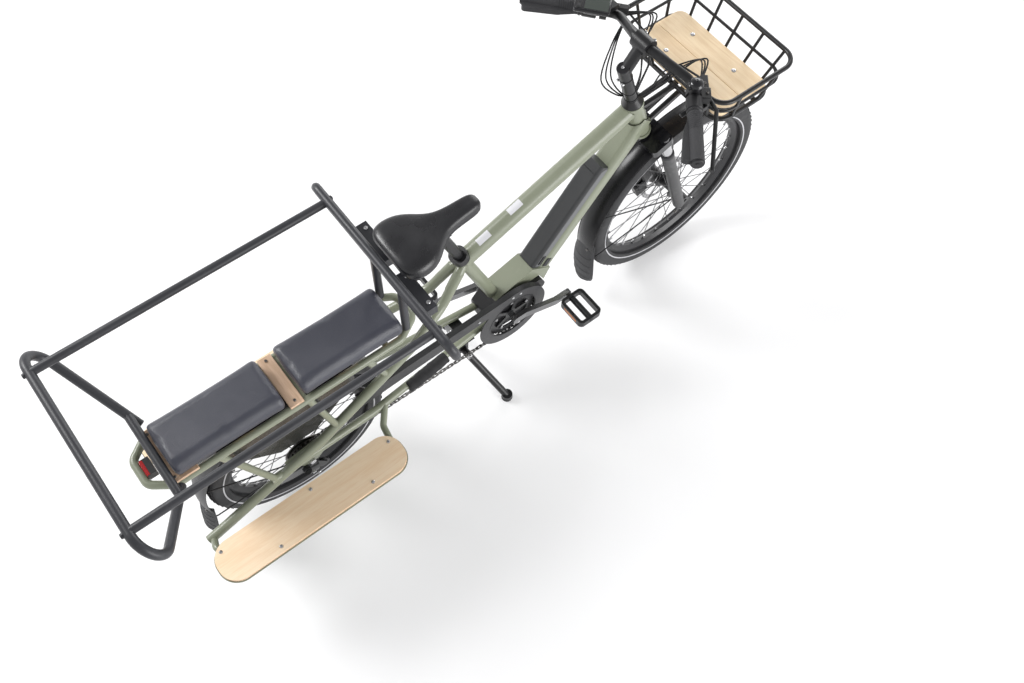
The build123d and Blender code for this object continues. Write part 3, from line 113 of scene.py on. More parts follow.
def bolt_circle(centre: Vector, count: int, radius: float, first: float) -> list[Vector]:
    """Returns places spread evenly round an axle.

    Args:
        centre: The middle of the circle.
        count: The number of places.
        radius: The circle's radius.
        first: The turn of the first place, in radians.

    Returns:
        The places.
    """
    turns = (math.tau * index / count + first for index in range(count))
    return [centre + vec(math.cos(turn), 0.0, math.sin(turn)) * radius for turn in turns]


def rounded(points: Sequence[Vector], bend: float, steps: int = 6, closed: bool = False) -> list[Vector]:
    """Returns a path with its corners rounded by arcs.

    Args:
        points: The corners of the path.
        bend: The radius of each arc.
        steps: The number of parts of each arc.
        closed: Whether the path ends where it starts.

    Returns:
        The points of the rounded path.
    """
    count = len(points)
    path = [] if closed else [points[0].copy()]
    for index in range(0 if closed else 1, count if closed else count - 1):
        corner = points[index]
        before = (points[index - 1] - corner).normalized()
        after = (points[(index + 1) % count] - corner).normalized()
        half = before.angle(after) / 2
        reach = bend / math.tan(half)
        middle = corner + (before + after).normalized() * (bend / math.sin(half))
        start = (corner + before * reach - middle).normalized()
        end = (corner + after * reach - middle).normalized()
        path.extend(middle + start.slerp(end, step / steps) * bend for step in range(steps + 1))
    if not closed:
        path.append(points[-1].copy())
    return path


def eased(points: Sequence[Vector], steps: int = 7) -> list[Vector]:
    """Returns a smooth path through some points, as a bent cable lies.

    Args:
        points: The points that the path passes.
        steps: The number of parts between two points.

    Returns:
        The points of the smooth path.
    """
    path = [points[0].copy()]
    for index in range(len(points) - 1):
        start, end = points[index], points[index + 1]
        leave = (end - points[max(index - 1, 0)]) / 2
        arrive = (points[min(index + 2, len(points) - 1)] - start) / 2
        for step in range(1, steps + 1):
            share = step / steps
            square, cube = share ** 2, share ** 3
            path.append(start * (2 * cube - 3 * square + 1) + leave * (cube - 2 * square + share)
                        + end * (3 * square - 2 * cube) + arrive * (cube - square))
    return path


def ring_of(centre: Vector, along: Vector, across: Vector, radius: float, sides: int) -> list[Vector]:
    """Returns the points of a circle.

    Args:
        centre: Its middle.
        along: The direction that it faces.
        across: The direction of its first point.
        radius: Its radius.
        sides: The number of points.

    Returns:
        The points.
    """
    other = along.cross(across)
    turns = (math.tau * side / sides for side in range(sides))
    return [centre + (across * math.cos(turn) + other * math.sin(turn)) * radius for turn in turns]


class Graph:
    """A node tree that is being built."""

    def __init__(self, tree: bpy.types.NodeTree) -> None:
        """Takes the tree.

        Args:
            tree: The node tree.
        """
        self.tree = tree

    def feed(self, node: bpy.types.Node, name: str | int, value: object) -> None:
        """Links a socket to an input, or sets the input to a value.

        Args:
            node: The node with the input.
            name: The input's name or number.
            value: A socket or a value.
        """
        if isinstance(value, bpy.types.NodeSocket):
            self.tree.links.new(value, node.inputs[name])
        else:
            node.inputs[name].default_value = value

    def node(self, kind: str, inputs: dict[str | int, object] | None = None,
             **settings: object) -> bpy.types.Node:
        """Adds a node.

        Args:
            kind: The node's type.
            inputs: Sockets and values of its inputs.
            settings: Its properties.

        Returns:
            The node.
        """
        made = self.tree.nodes.new(kind)
        for key, value in settings.items():
            setattr(made, key, value)
        for key, value in (inputs or {}).items():
            self.feed(made, key, value)
        return made

    def math(self, operation: str, first: object, second: object = 0.0) -> bpy.types.NodeSocket:
        """Adds a sum of one or two values.

        Args:
            operation: The kind of sum.
            first: A socket or a number.
            second: A socket or a number.

        Returns:
            The socket with the result.
        """
        return self.node("ShaderNodeMath", {0: first, 1: second}, operation=operation).outputs[0]

    def spread(self, value: object, low: float, high: float) -> bpy.types.NodeSocket:
        """Adds a soft step from 0 to 1.

        Args:
            value: The socket that is read.
            low: The value that gives 0.
            high: The value that gives 1.

        Returns:
            The socket with the result.
        """
        return self.node("ShaderNodeMapRange", {"Value": value, "From Min": low, "From Max": high},
                         interpolation_type="SMOOTHSTEP").outputs["Result"]

    def mix(self, share: object, first: object, second: object) -> bpy.types.NodeSocket:
        """Mixes two colours.

        Args:
            share: How much of the second colour there is.
            first: The first colour.
            second: The second colour.

        Returns:
            The mixed colour's socket.
        """
        return self.node("ShaderNodeMix", {0: share, 6: first, 7: second}, data_type="RGBA").outputs[2]


class Group(Graph):
    """A node group with named sockets."""

    def __init__(self, name: str, kind: str, inputs: dict[str, str | float], outputs: dict[str, str]) -> None:
        """Makes the group with its sockets.

        Args:
            name: The group's name.
            kind: The type of node tree.
            inputs: The inputs by name, each with its type or, for a number, with its first value.
            outputs: The outputs by name, each with its type.
        """
        super().__init__(bpy.data.node_groups.new(name, kind))
        self.inlet = self.node("NodeGroupInput")
        self.outlet = self.node("NodeGroupOutput")
        for key, sort in inputs.items():
            kind = sort if isinstance(sort, str) else type(sort).__name__.capitalize()
            socket = self.tree.interface.new_socket(key, in_out="INPUT", socket_type="NodeSocket" + kind)
            if kind != sort:
                socket.default_value = sort
        for key, sort in outputs.items():
            self.tree.interface.new_socket(key, in_out="OUTPUT", socket_type="NodeSocket" + sort)

    def take(self, *names: str) -> dict[str, bpy.types.NodeSocket]:
        """Finds inputs of the group.

        Args:
            names: The inputs' names.

        Returns:
            Their sockets by name.
        """
        return {name: self.inlet.outputs[name] for name in names}

    def give(self, **sockets: bpy.types.NodeSocket) -> bpy.types.NodeTree:
        """Links the group's outputs.

        Args:
            sockets: The sockets by the outputs' names.

        Returns:
            The group's tree.
        """
        for name, socket in sockets.items():
            self.feed(self.outlet, name, socket)
        return self.tree


def tone_group() -> bpy.types.NodeTree:
    """Builds the group that varies a colour and a roughness in soft clouds.

    Returns:
        The group, with Color, Roughness and Mask outputs.
    """
    group = Group("soft_tone", "ShaderNodeTree",
                  {"Vector": "Vector", "Base": "Color", "Second": "Color", "Scale": 6.0, "Share": 0.3,
                   "Rough": 0.5, "Swing": 0.1},
                  {"Color": "Color", "Roughness": "Float", "Mask": "Float"})
    inlet = group.inlet.outputs
    clouds = group.node("ShaderNodeTexNoise", {"Detail": 5.0, **group.take("Vector", "Scale")})
    mask = group.spread(clouds.outputs["Fac"], 0.35, 0.68)
    share = group.math("MULTIPLY", mask, inlet["Share"])
    lift = group.math("MULTIPLY", mask, inlet["Swing"])
    return group.give(Color=group.mix(share, inlet["Base"], inlet["Second"]),
                      Roughness=group.math("ADD", inlet["Rough"], lift), Mask=mask)


def grain_group() -> bpy.types.NodeTree:
    """Builds the group that gives the fine relief of paint, plastic, rubber or leather.

    Returns:
        The group, with a Height output.
    """
    group = Group("fine_grain", "ShaderNodeTree", {"Vector": "Vector", "Scale": 600.0, "Crease": 0.0},
                  {"Height": "Float"})
    place = group.take("Vector", "Scale")
    speck = group.node("ShaderNodeTexNoise", {"Detail": 3.0, **place})
    cells = group.node("ShaderNodeTexVoronoi", place, feature="DISTANCE_TO_EDGE")
    edge = group.math("MINIMUM", group.math("MULTIPLY", cells.outputs["Distance"], 5.0), 1.0)
    blend = group.node("ShaderNodeMix", {0: group.inlet.outputs["Crease"], 2: speck.outputs["Fac"], 3: edge},
                       data_type="FLOAT")
    return group.give(Height=blend.outputs[0])


def dust_group() -> bpy.types.NodeTree:
    """Builds the group that scatters small scuffs.

    Returns:
        The group, with a Mask output.
    """
    group = Group("light_scuffs", "ShaderNodeTree", {"Vector": "Vector", "Scale": 90.0, "Amount": 0.2},
                  {"Mask": "Float"})
    wide = group.node("ShaderNodeTexNoise", {"Scale": 9.0, **group.take("Vector")})
    fine = group.node("ShaderNodeTexNoise", {"Detail": 6.0, **group.take("Vector", "Scale")})
    both = group.math("MULTIPLY", wide.outputs["Fac"], fine.outputs["Fac"])
    cut = group.spread(both, 0.30, 0.42)
    return group.give(Mask=group.math("MULTIPLY", cut, group.inlet.outputs["Amount"]))


def wood_group() -> bpy.types.NodeTree:
    """Builds the group for oiled light plywood with long grain.

    Returns:
        The group, with Color, Roughness and Height outputs.
    """
    group = Group("long_grain", "ShaderNodeTree", {"Vector": "Vector", "Light": "Color", "Dark": "Color"},
                  {"Color": "Color", "Roughness": "Float", "Height": "Float"})
    inlet = group.inlet.outputs
    streaks = group.node("ShaderNodeTexNoise",
                         {"Scale": 5.0, "Detail": 7.0, "Distortion": 0.35, **group.take("Vector")})
    pores = group.node("ShaderNodeTexNoise", {"Scale": 42.0, "Detail": 3.0, **group.take("Vector")})
    shade = group.math("ADD", group.math("MULTIPLY", streaks.outputs["Fac"], 0.72),
                       group.math("MULTIPLY", pores.outputs["Fac"], 0.36))
    mask = group.spread(shade, 0.38, 0.74)
    rough = group.math("ADD", group.math("MULTIPLY", mask, 0.14), 0.46)
    return group.give(Color=group.mix(mask, inlet["Light"], inlet["Dark"]), Roughness=rough, Height=shade)


TONE = tone_group()
GRAIN = grain_group()
SCUFFS = dust_group()
LONG_GRAIN = wood_group()


class Surface(Graph):
    """A material whose graph is being built."""

    def __init__(self, name: str) -> None:
        """Makes the material with its shader and its object coordinates.

        Args:
            name: The material's name.
        """
        self.material = bpy.data.materials.new(name)
        self.material.use_nodes = True
        super().__init__(self.material.node_tree)
        self.shader = self.tree.nodes["Principled BSDF"]
        self.place = self.node("ShaderNodeTexCoord").outputs["Object"]

    def group(self, tree: bpy.types.NodeTree, **values: object) -> bpy.types.bpy_prop_collection:
        """Adds a shared group that reads object coordinates.

        Args:
            tree: The group.
            values: The values of its inputs.

        Returns:
            The group's outputs.
        """
        return self.node("ShaderNodeGroup", {"Vector": self.place, **values}, node_tree=tree).outputs

    def shade(self, **values: object) -> None:
        """Sets or links the shader's own inputs.

        Args:
            values: Sockets or constants, by names with underscores for spaces.
        """
        for key, value in values.items():
            self.feed(self.shader, key.replace("_", " "), value)

    def relief(self, height: bpy.types.NodeSocket, distance: float) -> None:
        """Adds a bump.

        Args:
            height: The socket with the height.
            distance: The depth in metres.
        """
        bump = self.node("ShaderNodeBump", {"Distance": distance, "Strength": 1.0, "Height": height})
        self.shade(Normal=bump.outputs["Normal"])


@dataclass(frozen=True)
class Finish:
    """A paint, plastic, rubber, leather or metal finish."""

    name: str
    base: Colour
    second: Colour
    rough: float
    swing: float = 0.08
    metallic: float = 0.0
    coat: float = 0.0
    coat_rough: float = 0.12
    cloud_scale: float = 7.0
    cloud_share: float = 0.5
    grain_scale: float = 900.0
    grain_depth: float = 0.00008
    crease: float = 0.0
    scuffs: float = 0.12
    scuff_colour: Colour = (0.5, 0.5, 0.5)
    specular: float = 0.5
    alpha: float = 1.0

    def material(self) -> bpy.types.Material:
        """Builds the material.

        Returns:
            The material.
        """
        surface = Surface(self.name)
        tone = surface.group(TONE, Base=(*self.base, 1.0), Second=(*self.second, 1.0), Scale=self.cloud_scale,
                             Share=self.cloud_share, Rough=self.rough, Swing=self.swing)
        grain = surface.group(GRAIN, Scale=self.grain_scale, Crease=self.crease)
        scuffs = surface.group(SCUFFS, Amount=self.scuffs)
        colour = surface.mix(scuffs["Mask"], tone["Color"], (*self.scuff_colour, 1.0))
        surface.shade(Base_Color=colour, Roughness=tone["Roughness"], Metallic=self.metallic,
                      Coat_Weight=self.coat, Specular_IOR_Level=self.specular, Alpha=self.alpha)
        surface.relief(grain["Height"], self.grain_depth)
        if self.coat > 0:
            surface.shade(Coat_Roughness=self.coat_rough)
        return surface.material


@dataclass(frozen=True)
class WoodFinish:
    """Oiled light plywood, with its grain along one direction."""

    name: str
    light: Colour
    dark: Colour
    stretch: tuple[float, float, float]
    relief: float = 0.00010
    coat: float = 0.18
    coat_rough: float = 0.3

    def material(self) -> bpy.types.Material:
        """Builds the material.

        Returns:
            The material.
        """
        surface = Surface(self.name)
        stretch = surface.node("ShaderNodeMapping", {"Scale": self.stretch, "Vector": surface.place})
        surface.place = stretch.outputs["Vector"]
        wood = surface.group(LONG_GRAIN, Light=(*self.light, 1.0), Dark=(*self.dark, 1.0))
        surface.shade(Base_Color=wood["Color"], Roughness=wood["Roughness"], Coat_Weight=self.coat,
                      Coat_Roughness=self.coat_rough)
        surface.relief(wood["Height"], self.relief)
        return surface.material


@dataclass(frozen=True)
class WheelFinish:
    """Black rim and hub with grey spokes between them, by distance from the axle."""

    name: str
    axle: tuple[float, float, float]
    rim_start: float
    hub_reach: float = 0.0275
    spoke: Colour = (0.16, 0.16, 0.165)

    def material(self) -> bpy.types.Material:
        """Builds the material.

        Returns:
            The material.
        """
        surface = Surface(self.name)
        offset = surface.node("ShaderNodeVectorMath", {0: surface.place, 1: self.axle}, operation="SUBTRACT")
        flat = surface.node("ShaderNodeVectorMath", {0: offset.outputs[0], 1: (1.0, 0.0, 1.0)},
                            operation="MULTIPLY")
        length = surface.node("ShaderNodeVectorMath", {0: flat.outputs[0]}, operation="LENGTH")
        reach = length.outputs["Value"]
        spoke = surface.math("MULTIPLY", surface.math("GREATER_THAN", reach, self.hub_reach),
                             surface.math("LESS_THAN", reach, self.rim_start))
        tone = surface.group(TONE, Base=(0.018, 0.018, 0.02, 1.0), Second=(0.03, 0.03, 0.032, 1.0),
                             Rough=0.34, Swing=0.1)
        surface.shade(Base_Color=surface.mix(spoke, tone["Color"], (*self.spoke, 1.0)),
                      Roughness=tone["Roughness"], Metallic=spoke)
        return surface.material


class Shape:
    """Collects closed forms in one mesh, in the frame's metres."""

    def __init__(self) -> None:
        """Starts with an empty mesh."""
        self.mesh = bmesh.new()

    def skin(self, rings: Sequence[Sequence[Vector]], looped: bool = False) -> None:
        """Joins rings of points into a closed skin.

        Args:
            rings: Rings with the same number of points.
            looped: Whether the last ring joins the first one.
        """
        rows = [[self.mesh.verts.new(point) for point in ring] for ring in rings]
        nexts = rows[1:] + rows[:1] if looped else rows[1:]
        for low, high in zip(rows, nexts):
            for index in range(len(low)):
                following = (index + 1) % len(low)
                self.mesh.faces.new((low[index], low[following], high[following], high[index]))
        if not looped:
            self.mesh.faces.new(list(reversed(rows[0])))
            self.mesh.faces.new(rows[-1])

    def tube(self, path: Sequence[Vector], radius: float, sides: int = 12, closed: bool = False) -> None:
        """Adds a round bar along a path.

        Args:
            path: The points of its middle line.
            radius: Its radius.
            sides: The number of its sides.
            closed: Whether it ends where it starts.
        """
        count = len(path)
        rings = []
        across = None
        for index, point in enumerate(path):
            before = path[index - 1] if index > 0 or closed else point
            after = path[(index + 1) % count] if index < count - 1 or closed else point
            along = (after - before).normalized()
            if across is None:
                across = along.orthogonal().normalized()
            across = (across - along * across.dot(along)).normalized()
            rings.append(ring_of(point, along, across, radius, sides))
        if closed:
            self.close_twist(rings)
        self.skin(rings, closed)

    @staticmethod
    def close_twist(rings: list[list[Vector]]) -> None:
        """Turns the rings of a closed bar so that its ends meet without a twist.

        Args:
            rings: The rings of the bar, whose order of points is changed in place.
        """
        first = rings[0][0]
        nearest = min(range(len(rings[-1])), key=lambda index: (rings[-1][index] - first).length)
        count = len(rings)
        for index, ring in enumerate(rings):
            shift = round(nearest * index / count)
            rings[index] = ring[shift:] + ring[:shift]

    def lathe(self, centre: Vector, axis: Vector, profile: Sequence[tuple[float, float]],
              sides: int = 32, looped: bool = False) -> None:
        """Turns a profile about an axis.

        Args:
            centre: A point on the axis.
            axis: The direction of the axis.
            profile: Pairs of distance along the axis and radius.
            sides: The number of steps round the axis.
            looped: Whether the profile is a closed section.
        """
        along = axis.normalized()
        across = along.orthogonal().normalized()
        self.skin([ring_of(centre + along * place, along, across, radius, sides)
                   for place, radius in profile], looped)

    def disc(self, start: Vector, end: Vector, radius: float, sides: int = 24, cut: float = 0.0) -> None:
        """Adds a round bar or disc with rounded rims.

        Args:
            start: The middle of one end.
            end: The middle of the other end.
            radius: Its radius.
            sides: The number of its sides.
            cut: How much of its rims is taken off.
        """
        length = (end - start).length
        profile = [(0.0, radius), (length, radius)]
        if cut > 0:
            profile = [(0.0, radius - cut), (cut, radius), (length - cut, radius), (length, radius - cut)]
        self.lathe(start, end - start, profile, sides)

    def dome(self, foot: Vector, axis: Vector, radius: float, height: float, sides: int = 16) -> None:
        """Adds a rounded cap.

        Args:
            foot: The middle of its flat side.
            axis: The direction that it bulges to.
            radius: The radius of its flat side.
            height: Its height.
            sides: The number of its sides.
        """
        steps, tip_share = 4, 0.12
        turns = [math.pi / 2 * step / steps for step in range(steps)]
        profile = [(height * math.sin(turn), radius * math.cos(turn)) for turn in turns]
        self.lathe(foot, axis, [*profile, (height, radius * tip_share)], sides)

    def prism(self, outline: Sequence[Vector], push: Vector) -> None:
        """Adds a plate from its outline.

        Args:
            outline: The corners of one face.
            push: The way to the other face.
        """
        self.skin([list(outline), [point + push for point in outline]])

    def block(self, centre: Vector, size: Vector, x_dir: Vector = FORWARD, y_dir: Vector = ACROSS) -> None:
        """Adds a block.

        Args:
            centre: Its middle.
            size: Its three sizes.
            x_dir: The direction of the first size.
            y_dir: The direction of the second size.
        """
        along = x_dir.normalized() * size.x / 2
        across = y_dir.normalized() * size.y / 2
        rise = x_dir.cross(y_dir).normalized() * size.z
        low = centre - rise / 2
        self.prism([low - along - across, low + along - across, low + along + across,
                    low - along + across], rise)

    def to_mesh(self, name: str) -> bpy.types.Mesh:
        """Ends the collecting.

        Args:
            name: The mesh's name.

        Returns:
            The mesh of all forms.
        """
        bmesh.ops.recalc_face_normals(self.mesh, faces=self.mesh.faces)
        mesh = bpy.data.meshes.new(name)
        self.mesh.to_mesh(mesh)
        self.mesh.free()
        return mesh

    def finish(self, name: str, material: bpy.types.Material, body: str, slot: str,
               **edges: float) -> bpy.types.Object:
        """Makes the collected forms one piece that rides on a body.

        Args:
            name: The piece's name.
            material: Its material.
            body: The body that it rides on.
            slot: The record's material slot.
            edges: Values for place_piece's bevel, subdivide and sharp.

        Returns:
            The piece.
        """
        return place_piece(name, self.to_mesh(name), material, body, slot, **edges)


def place_piece(name: str, mesh: bpy.types.Mesh, material: bpy.types.Material, body: str, slot: str,
                bevel: float = 0.0, subdivide: int = 0, sharp: float = 35.0) -> bpy.types.Object:
    """Links a mesh as a piece that rides on a body.

    Args:
        name: The object's name.
        mesh: Its mesh.
        material: Its material.
        body: The body that it rides on.
        slot: The record's material slot, which is not used.
        bevel: The width of the rounding of its edges.
        subdivide: The number of subdivisions.
        sharp: The angle in degrees from which an edge looks sharp.

    Returns:
        The object.
    """
    mesh.materials.clear()
    mesh.materials.append(material)
    mesh.shade_smooth()
    mesh.set_sharp_from_angle(angle=math.radians(sharp))
    piece = bpy.data.objects.new(name, mesh)
    bpy.context.scene.collection.objects.link(piece)
    if bevel > 0:
        rounding = piece.modifiers.new("rounding", "BEVEL")
        rounding.width = bevel
        rounding.segments = 2
        rounding.limit_method = "ANGLE"
    if subdivide > 0:
        softening = piece.modifiers.new("softening", "SUBSURF")
        softening.levels = softening.render_levels = subdivide
    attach(piece, body)
    LOG.info("%s on %s: %d faces", name, body, len(mesh.polygons))
    return piece


def grow(name: str, tree: bpy.types.NodeTree, base: bpy.types.Mesh, body: str, slot: str,
         material: bpy.types.Material, **values: object) -> bpy.types.Object:
    """Runs a geometry tree on a mesh and keeps its result as one plain piece.

    Args:
        name: The piece's name.
        tree: The geometry tree.
        base: The mesh that the tree starts from.
        body: The body that the piece rides on.
        slot: The record's material slot.
        material: The finish of every copy.
        values: The tree's inputs by name.

    Returns:
        The piece.
    """
    carrier = bpy.data.objects.new(name + "_carrier", base)
    bpy.context.scene.collection.objects.link(carrier)
    modifier = carrier.modifiers.new("growth", "NODES")
    modifier.node_group = tree
    wanted = {"Finish": material, **values}
    for item in tree.interface.items_tree:
        if item.item_type == "SOCKET" and item.in_out == "INPUT" and item.name in wanted:
            modifier[item.identifier] = wanted[item.name]
    graph = bpy.context.evaluated_depsgraph_get()
    mesh = bpy.data.meshes.new_from_object(carrier.evaluated_get(graph))
    mesh.name = name
    bpy.data.objects.remove(carrier)
    return place_piece(name, mesh, material, body, slot)


def grow_copies(name: str, tree: bpy.types.NodeTree, shape: Shape, base: bpy.types.Mesh, body: str, slot: str,
                material: bpy.types.Material, **values: object) -> bpy.types.Object:
    """Runs a geometry tree that copies one small form.

    Args:
        name: The piece's name.
        tree: The geometry tree.
        shape: The forms of one copy, round the origin.
        base: The mesh that the tree starts from.
        body: The body that the piece rides on.
        slot: The record's material slot.
        material: The finish of every copy.
        values: The tree's other inputs by name.

    Returns:
        The piece.
    """
    pattern = bpy.data.objects.new(name + "_pattern", shape.to_mesh(name + "_pattern"))
    bpy.context.scene.collection.objects.link(pattern)
    made = grow(name, tree, base, body, slot, material, Piece=pattern, **values)
    bpy.data.objects.remove(pattern)
    return made


def growing(name: str, **inputs: str | float) -> Group:
    """Starts a geometry tree.

    Args:
        name: The tree's name.
        inputs: The types or first values of its own inputs.

    Returns:
        The tree, with Geometry and Finish inputs too.
    """
    sockets = {"Geometry": "Geometry", **inputs, "Finish": "Material"}
    return Group(name, "GeometryNodeTree", sockets, {"Geometry": "Geometry"})


def painted(group: Group, geometry: bpy.types.NodeSocket) -> bpy.types.NodeTree:
    """Ends a geometry tree with real copies in one finish.

    Args:
        group: The tree being built.
        geometry: The socket with its instances.

    Returns:
        The finished tree.
    """
    real = group.node("GeometryNodeRealizeInstances", {"Geometry": geometry})
    paint = group.node("GeometryNodeSetMaterial",
                       {"Geometry": real.outputs["Geometry"], "Material": group.inlet.outputs["Finish"]})
    return group.give(Geometry=paint.outputs["Geometry"])


def copied(group: Group, points: bpy.types.NodeSocket, rotation: bpy.types.NodeSocket) -> bpy.types.NodeTree:
    """Ends a geometry tree with a copy of the piece on each point.

    Args:
        group: The tree being built.
        points: The points.
        rotation: The turn of each copy.

    Returns:
        The finished tree.
    """
    source = group.node("GeometryNodeObjectInfo", {"Object": group.inlet.outputs["Piece"]},
                        transform_space="ORIGINAL")
    put = group.node("GeometryNodeInstanceOnPoints",
                     {"Points": points, "Instance": source.outputs["Geometry"], "Rotation": rotation})
    return painted(group, put.outputs["Instances"])


def ring_tree() -> bpy.types.NodeTree:
    """Builds the tree that copies a piece evenly round an axle.

    Returns:
        The tree, with Piece, Count, Centre, Radius and Finish inputs.
    """
    group = growing("copies_round_an_axle", Piece="Object", Count=12, Centre="Vector", Radius=0.1)
    inlet = group.inlet.outputs
    index = group.node("GeometryNodeInputIndex").outputs[0]
    turn = group.math("MULTIPLY", index, group.math("DIVIDE", math.tau, inlet["Count"]))
    ahead, rise = (group.math("MULTIPLY", group.math(wave, turn), inlet["Radius"])
                   for wave in ("COSINE", "SINE"))
    place = group.node("ShaderNodeCombineXYZ", {0: ahead, 2: rise})
    shift = group.node("ShaderNodeVectorMath", {0: place.outputs[0], 1: inlet["Centre"]}, operation="ADD")
    points = group.node("GeometryNodePoints", {"Count": inlet["Count"], "Position": shift.outputs[0]})
    lean = group.node("ShaderNodeCombineXYZ", {1: group.math("MULTIPLY", turn, -1.0)})
    return copied(group, points.outputs[0], lean.outputs[0])


def spot_tree() -> bpy.types.NodeTree:
    """Builds the tree that copies a piece onto points, each aimed its own way.

    Returns:
        The tree, with Piece and Finish inputs.
    """
    group = growing("copies_on_points", Piece="Object")
    aim = group.node("GeometryNodeInputNamedAttribute", {"Name": "aim"}, data_type="FLOAT_VECTOR")
    turn = group.node("FunctionNodeAlignRotationToVector", {"Vector": aim.outputs["Attribute"]}, axis="Z")
    return copied(group, group.inlet.outputs["Geometry"], turn.outputs["Rotation"])


def path_tree() -> bpy.types.NodeTree:
    """Builds the tree that copies a piece evenly along a path.

    Returns:
        The tree, with Piece, Count and Finish inputs.
    """
    group = growing("copies_along_a_path", Piece="Object", Count=12)
    line = group.node("GeometryNodeMeshToCurve", {"Mesh": group.inlet.outputs["Geometry"]})
    even = group.node("GeometryNodeResampleCurve", {"Curve": line.outputs["Curve"], **group.take("Count")})
    tangent = group.node("GeometryNodeInputTangent")
    turn = group.node("FunctionNodeAlignRotationToVector", {"Vector": tangent.outputs["Tangent"]}, axis="X",
                      pivot_axis="AUTO")
    return copied(group, even.outputs["Curve"], turn.outputs["Rotation"])


def bar_tree() -> bpy.types.NodeTree:
    """Builds the tree that turns the edges of a mesh into round bars.

    Returns:
        The tree, with Radius, Sides and Finish inputs.
    """
    group = growing("round_bars", Radius=0.002, Sides=10)
    inlet = group.inlet.outputs
    line = group.node("GeometryNodeMeshToCurve", {"Mesh": inlet["Geometry"]})
    section = group.node("GeometryNodeCurvePrimitiveCircle",
                         {"Resolution": inlet["Sides"], "Radius": inlet["Radius"]}, mode="RADIUS")
    skin = group.node("GeometryNodeCurveToMesh", {"Fill Caps": True, "Curve": line.outputs["Curve"],
                                                  "Profile Curve": section.outputs["Curve"]})
    return painted(group, skin.outputs["Mesh"])


RING = ring_tree()
SPOTS = spot_tree()
ALONG = path_tree()
BARS = bar_tree()


def lines_mesh(paths: Iterable[Sequence[Vector]], closed: bool = False) -> bpy.types.Mesh:
    """Makes a mesh of edges from paths.

    Args:
        paths: The paths.
        closed: Whether each path ends where it starts.

    Returns:
        The mesh.
    """
    points: list[Vector] = []
    edges = []
    for path in paths:
        first = len(points)
        points.extend(path)
        edges.extend((first + index, first + index + 1) for index in range(len(path) - 1))
        if closed:
            edges.append((len(points) - 1, first))
    mesh = bpy.data.meshes.new("lines")
    mesh.from_pydata([tuple(point) for point in points], edges, [])
    return mesh


def spots_mesh(spots: Iterable[Spot]) -> bpy.types.Mesh:
    """Makes a mesh of loose points that hold the direction each copy is aimed at.

    Args:
        spots: Pairs of a place and a direction.

    Returns:
        The mesh.
    """
    pairs = list(spots)
    mesh = bpy.data.meshes.new("spots")
    mesh.from_pydata([tuple(place) for place, _ in pairs], [], [])
    aims = mesh.attributes.new("aim", "FLOAT_VECTOR", "POINT")
    for index, (_, direction) in enumerate(pairs):
        aims.data[index].vector = direction
    return mesh


class Head(Enum):
    """The kinds of screw head on the bike, by their height as a share of the radius."""

    SOCKET = 0.75
    DOME = 0.55
    FLAT = 0.22


def put_screws(name: str, spots: Iterable[Spot], radius: float, body: str, slot: str,
               material: bpy.types.Material, head: Head = Head.DOME) -> bpy.types.Object:
    """Puts screw heads on a body.

    Args:
        name: The piece's name.
        spots: Pairs of a place and the direction of the head.
        radius: The radius of the heads.
        body: The body that they ride on.
        slot: The record's material slot.
        material: Their finish.
        head: The kind of head.

    Returns:
        The piece.
    """
    shares = ((-0.2, 1.0), (0.75, 1.0), (1.0, 0.86), (1.0, 0.5), (0.45, 0.44))
    if head is Head.DOME:
        shares = ((-0.2, 1.0), (0.0, 1.0), (0.6, 0.84), (1.0, 0.42), (0.7, 0.38), (0.4, 0.34))
    height = head.value * radius
    shape = Shape()
    shape.lathe(vec(0, 0, 0), UPWARD, [(height * rise, radius * reach) for rise, reach in shares], 14)
    return grow_copies(name, SPOTS, shape, spots_mesh(spots), body, slot, material)


def ring_copies(name: str, shape: Shape, count: int, centre: Vector, radius: float, body: str, slot: str,
                material: bpy.types.Material) -> bpy.types.Object:
    """Copies a form round an axle as one piece.

    Args:
        name: The piece's name.
        shape: The form, with X outwards and Y across the bike.
        count: The number of copies.
        centre: The middle of the ring.
        radius: The distance of each copy from the middle.
        body: The body that the piece rides on.
        slot: The record's material slot.
        material: The finish.

    Returns:
        The piece.
    """
    return grow_copies(name, RING, shape, bpy.data.meshes.new("blank"), body, slot, material, Count=count,
                       Centre=tuple(centre), Radius=radius)


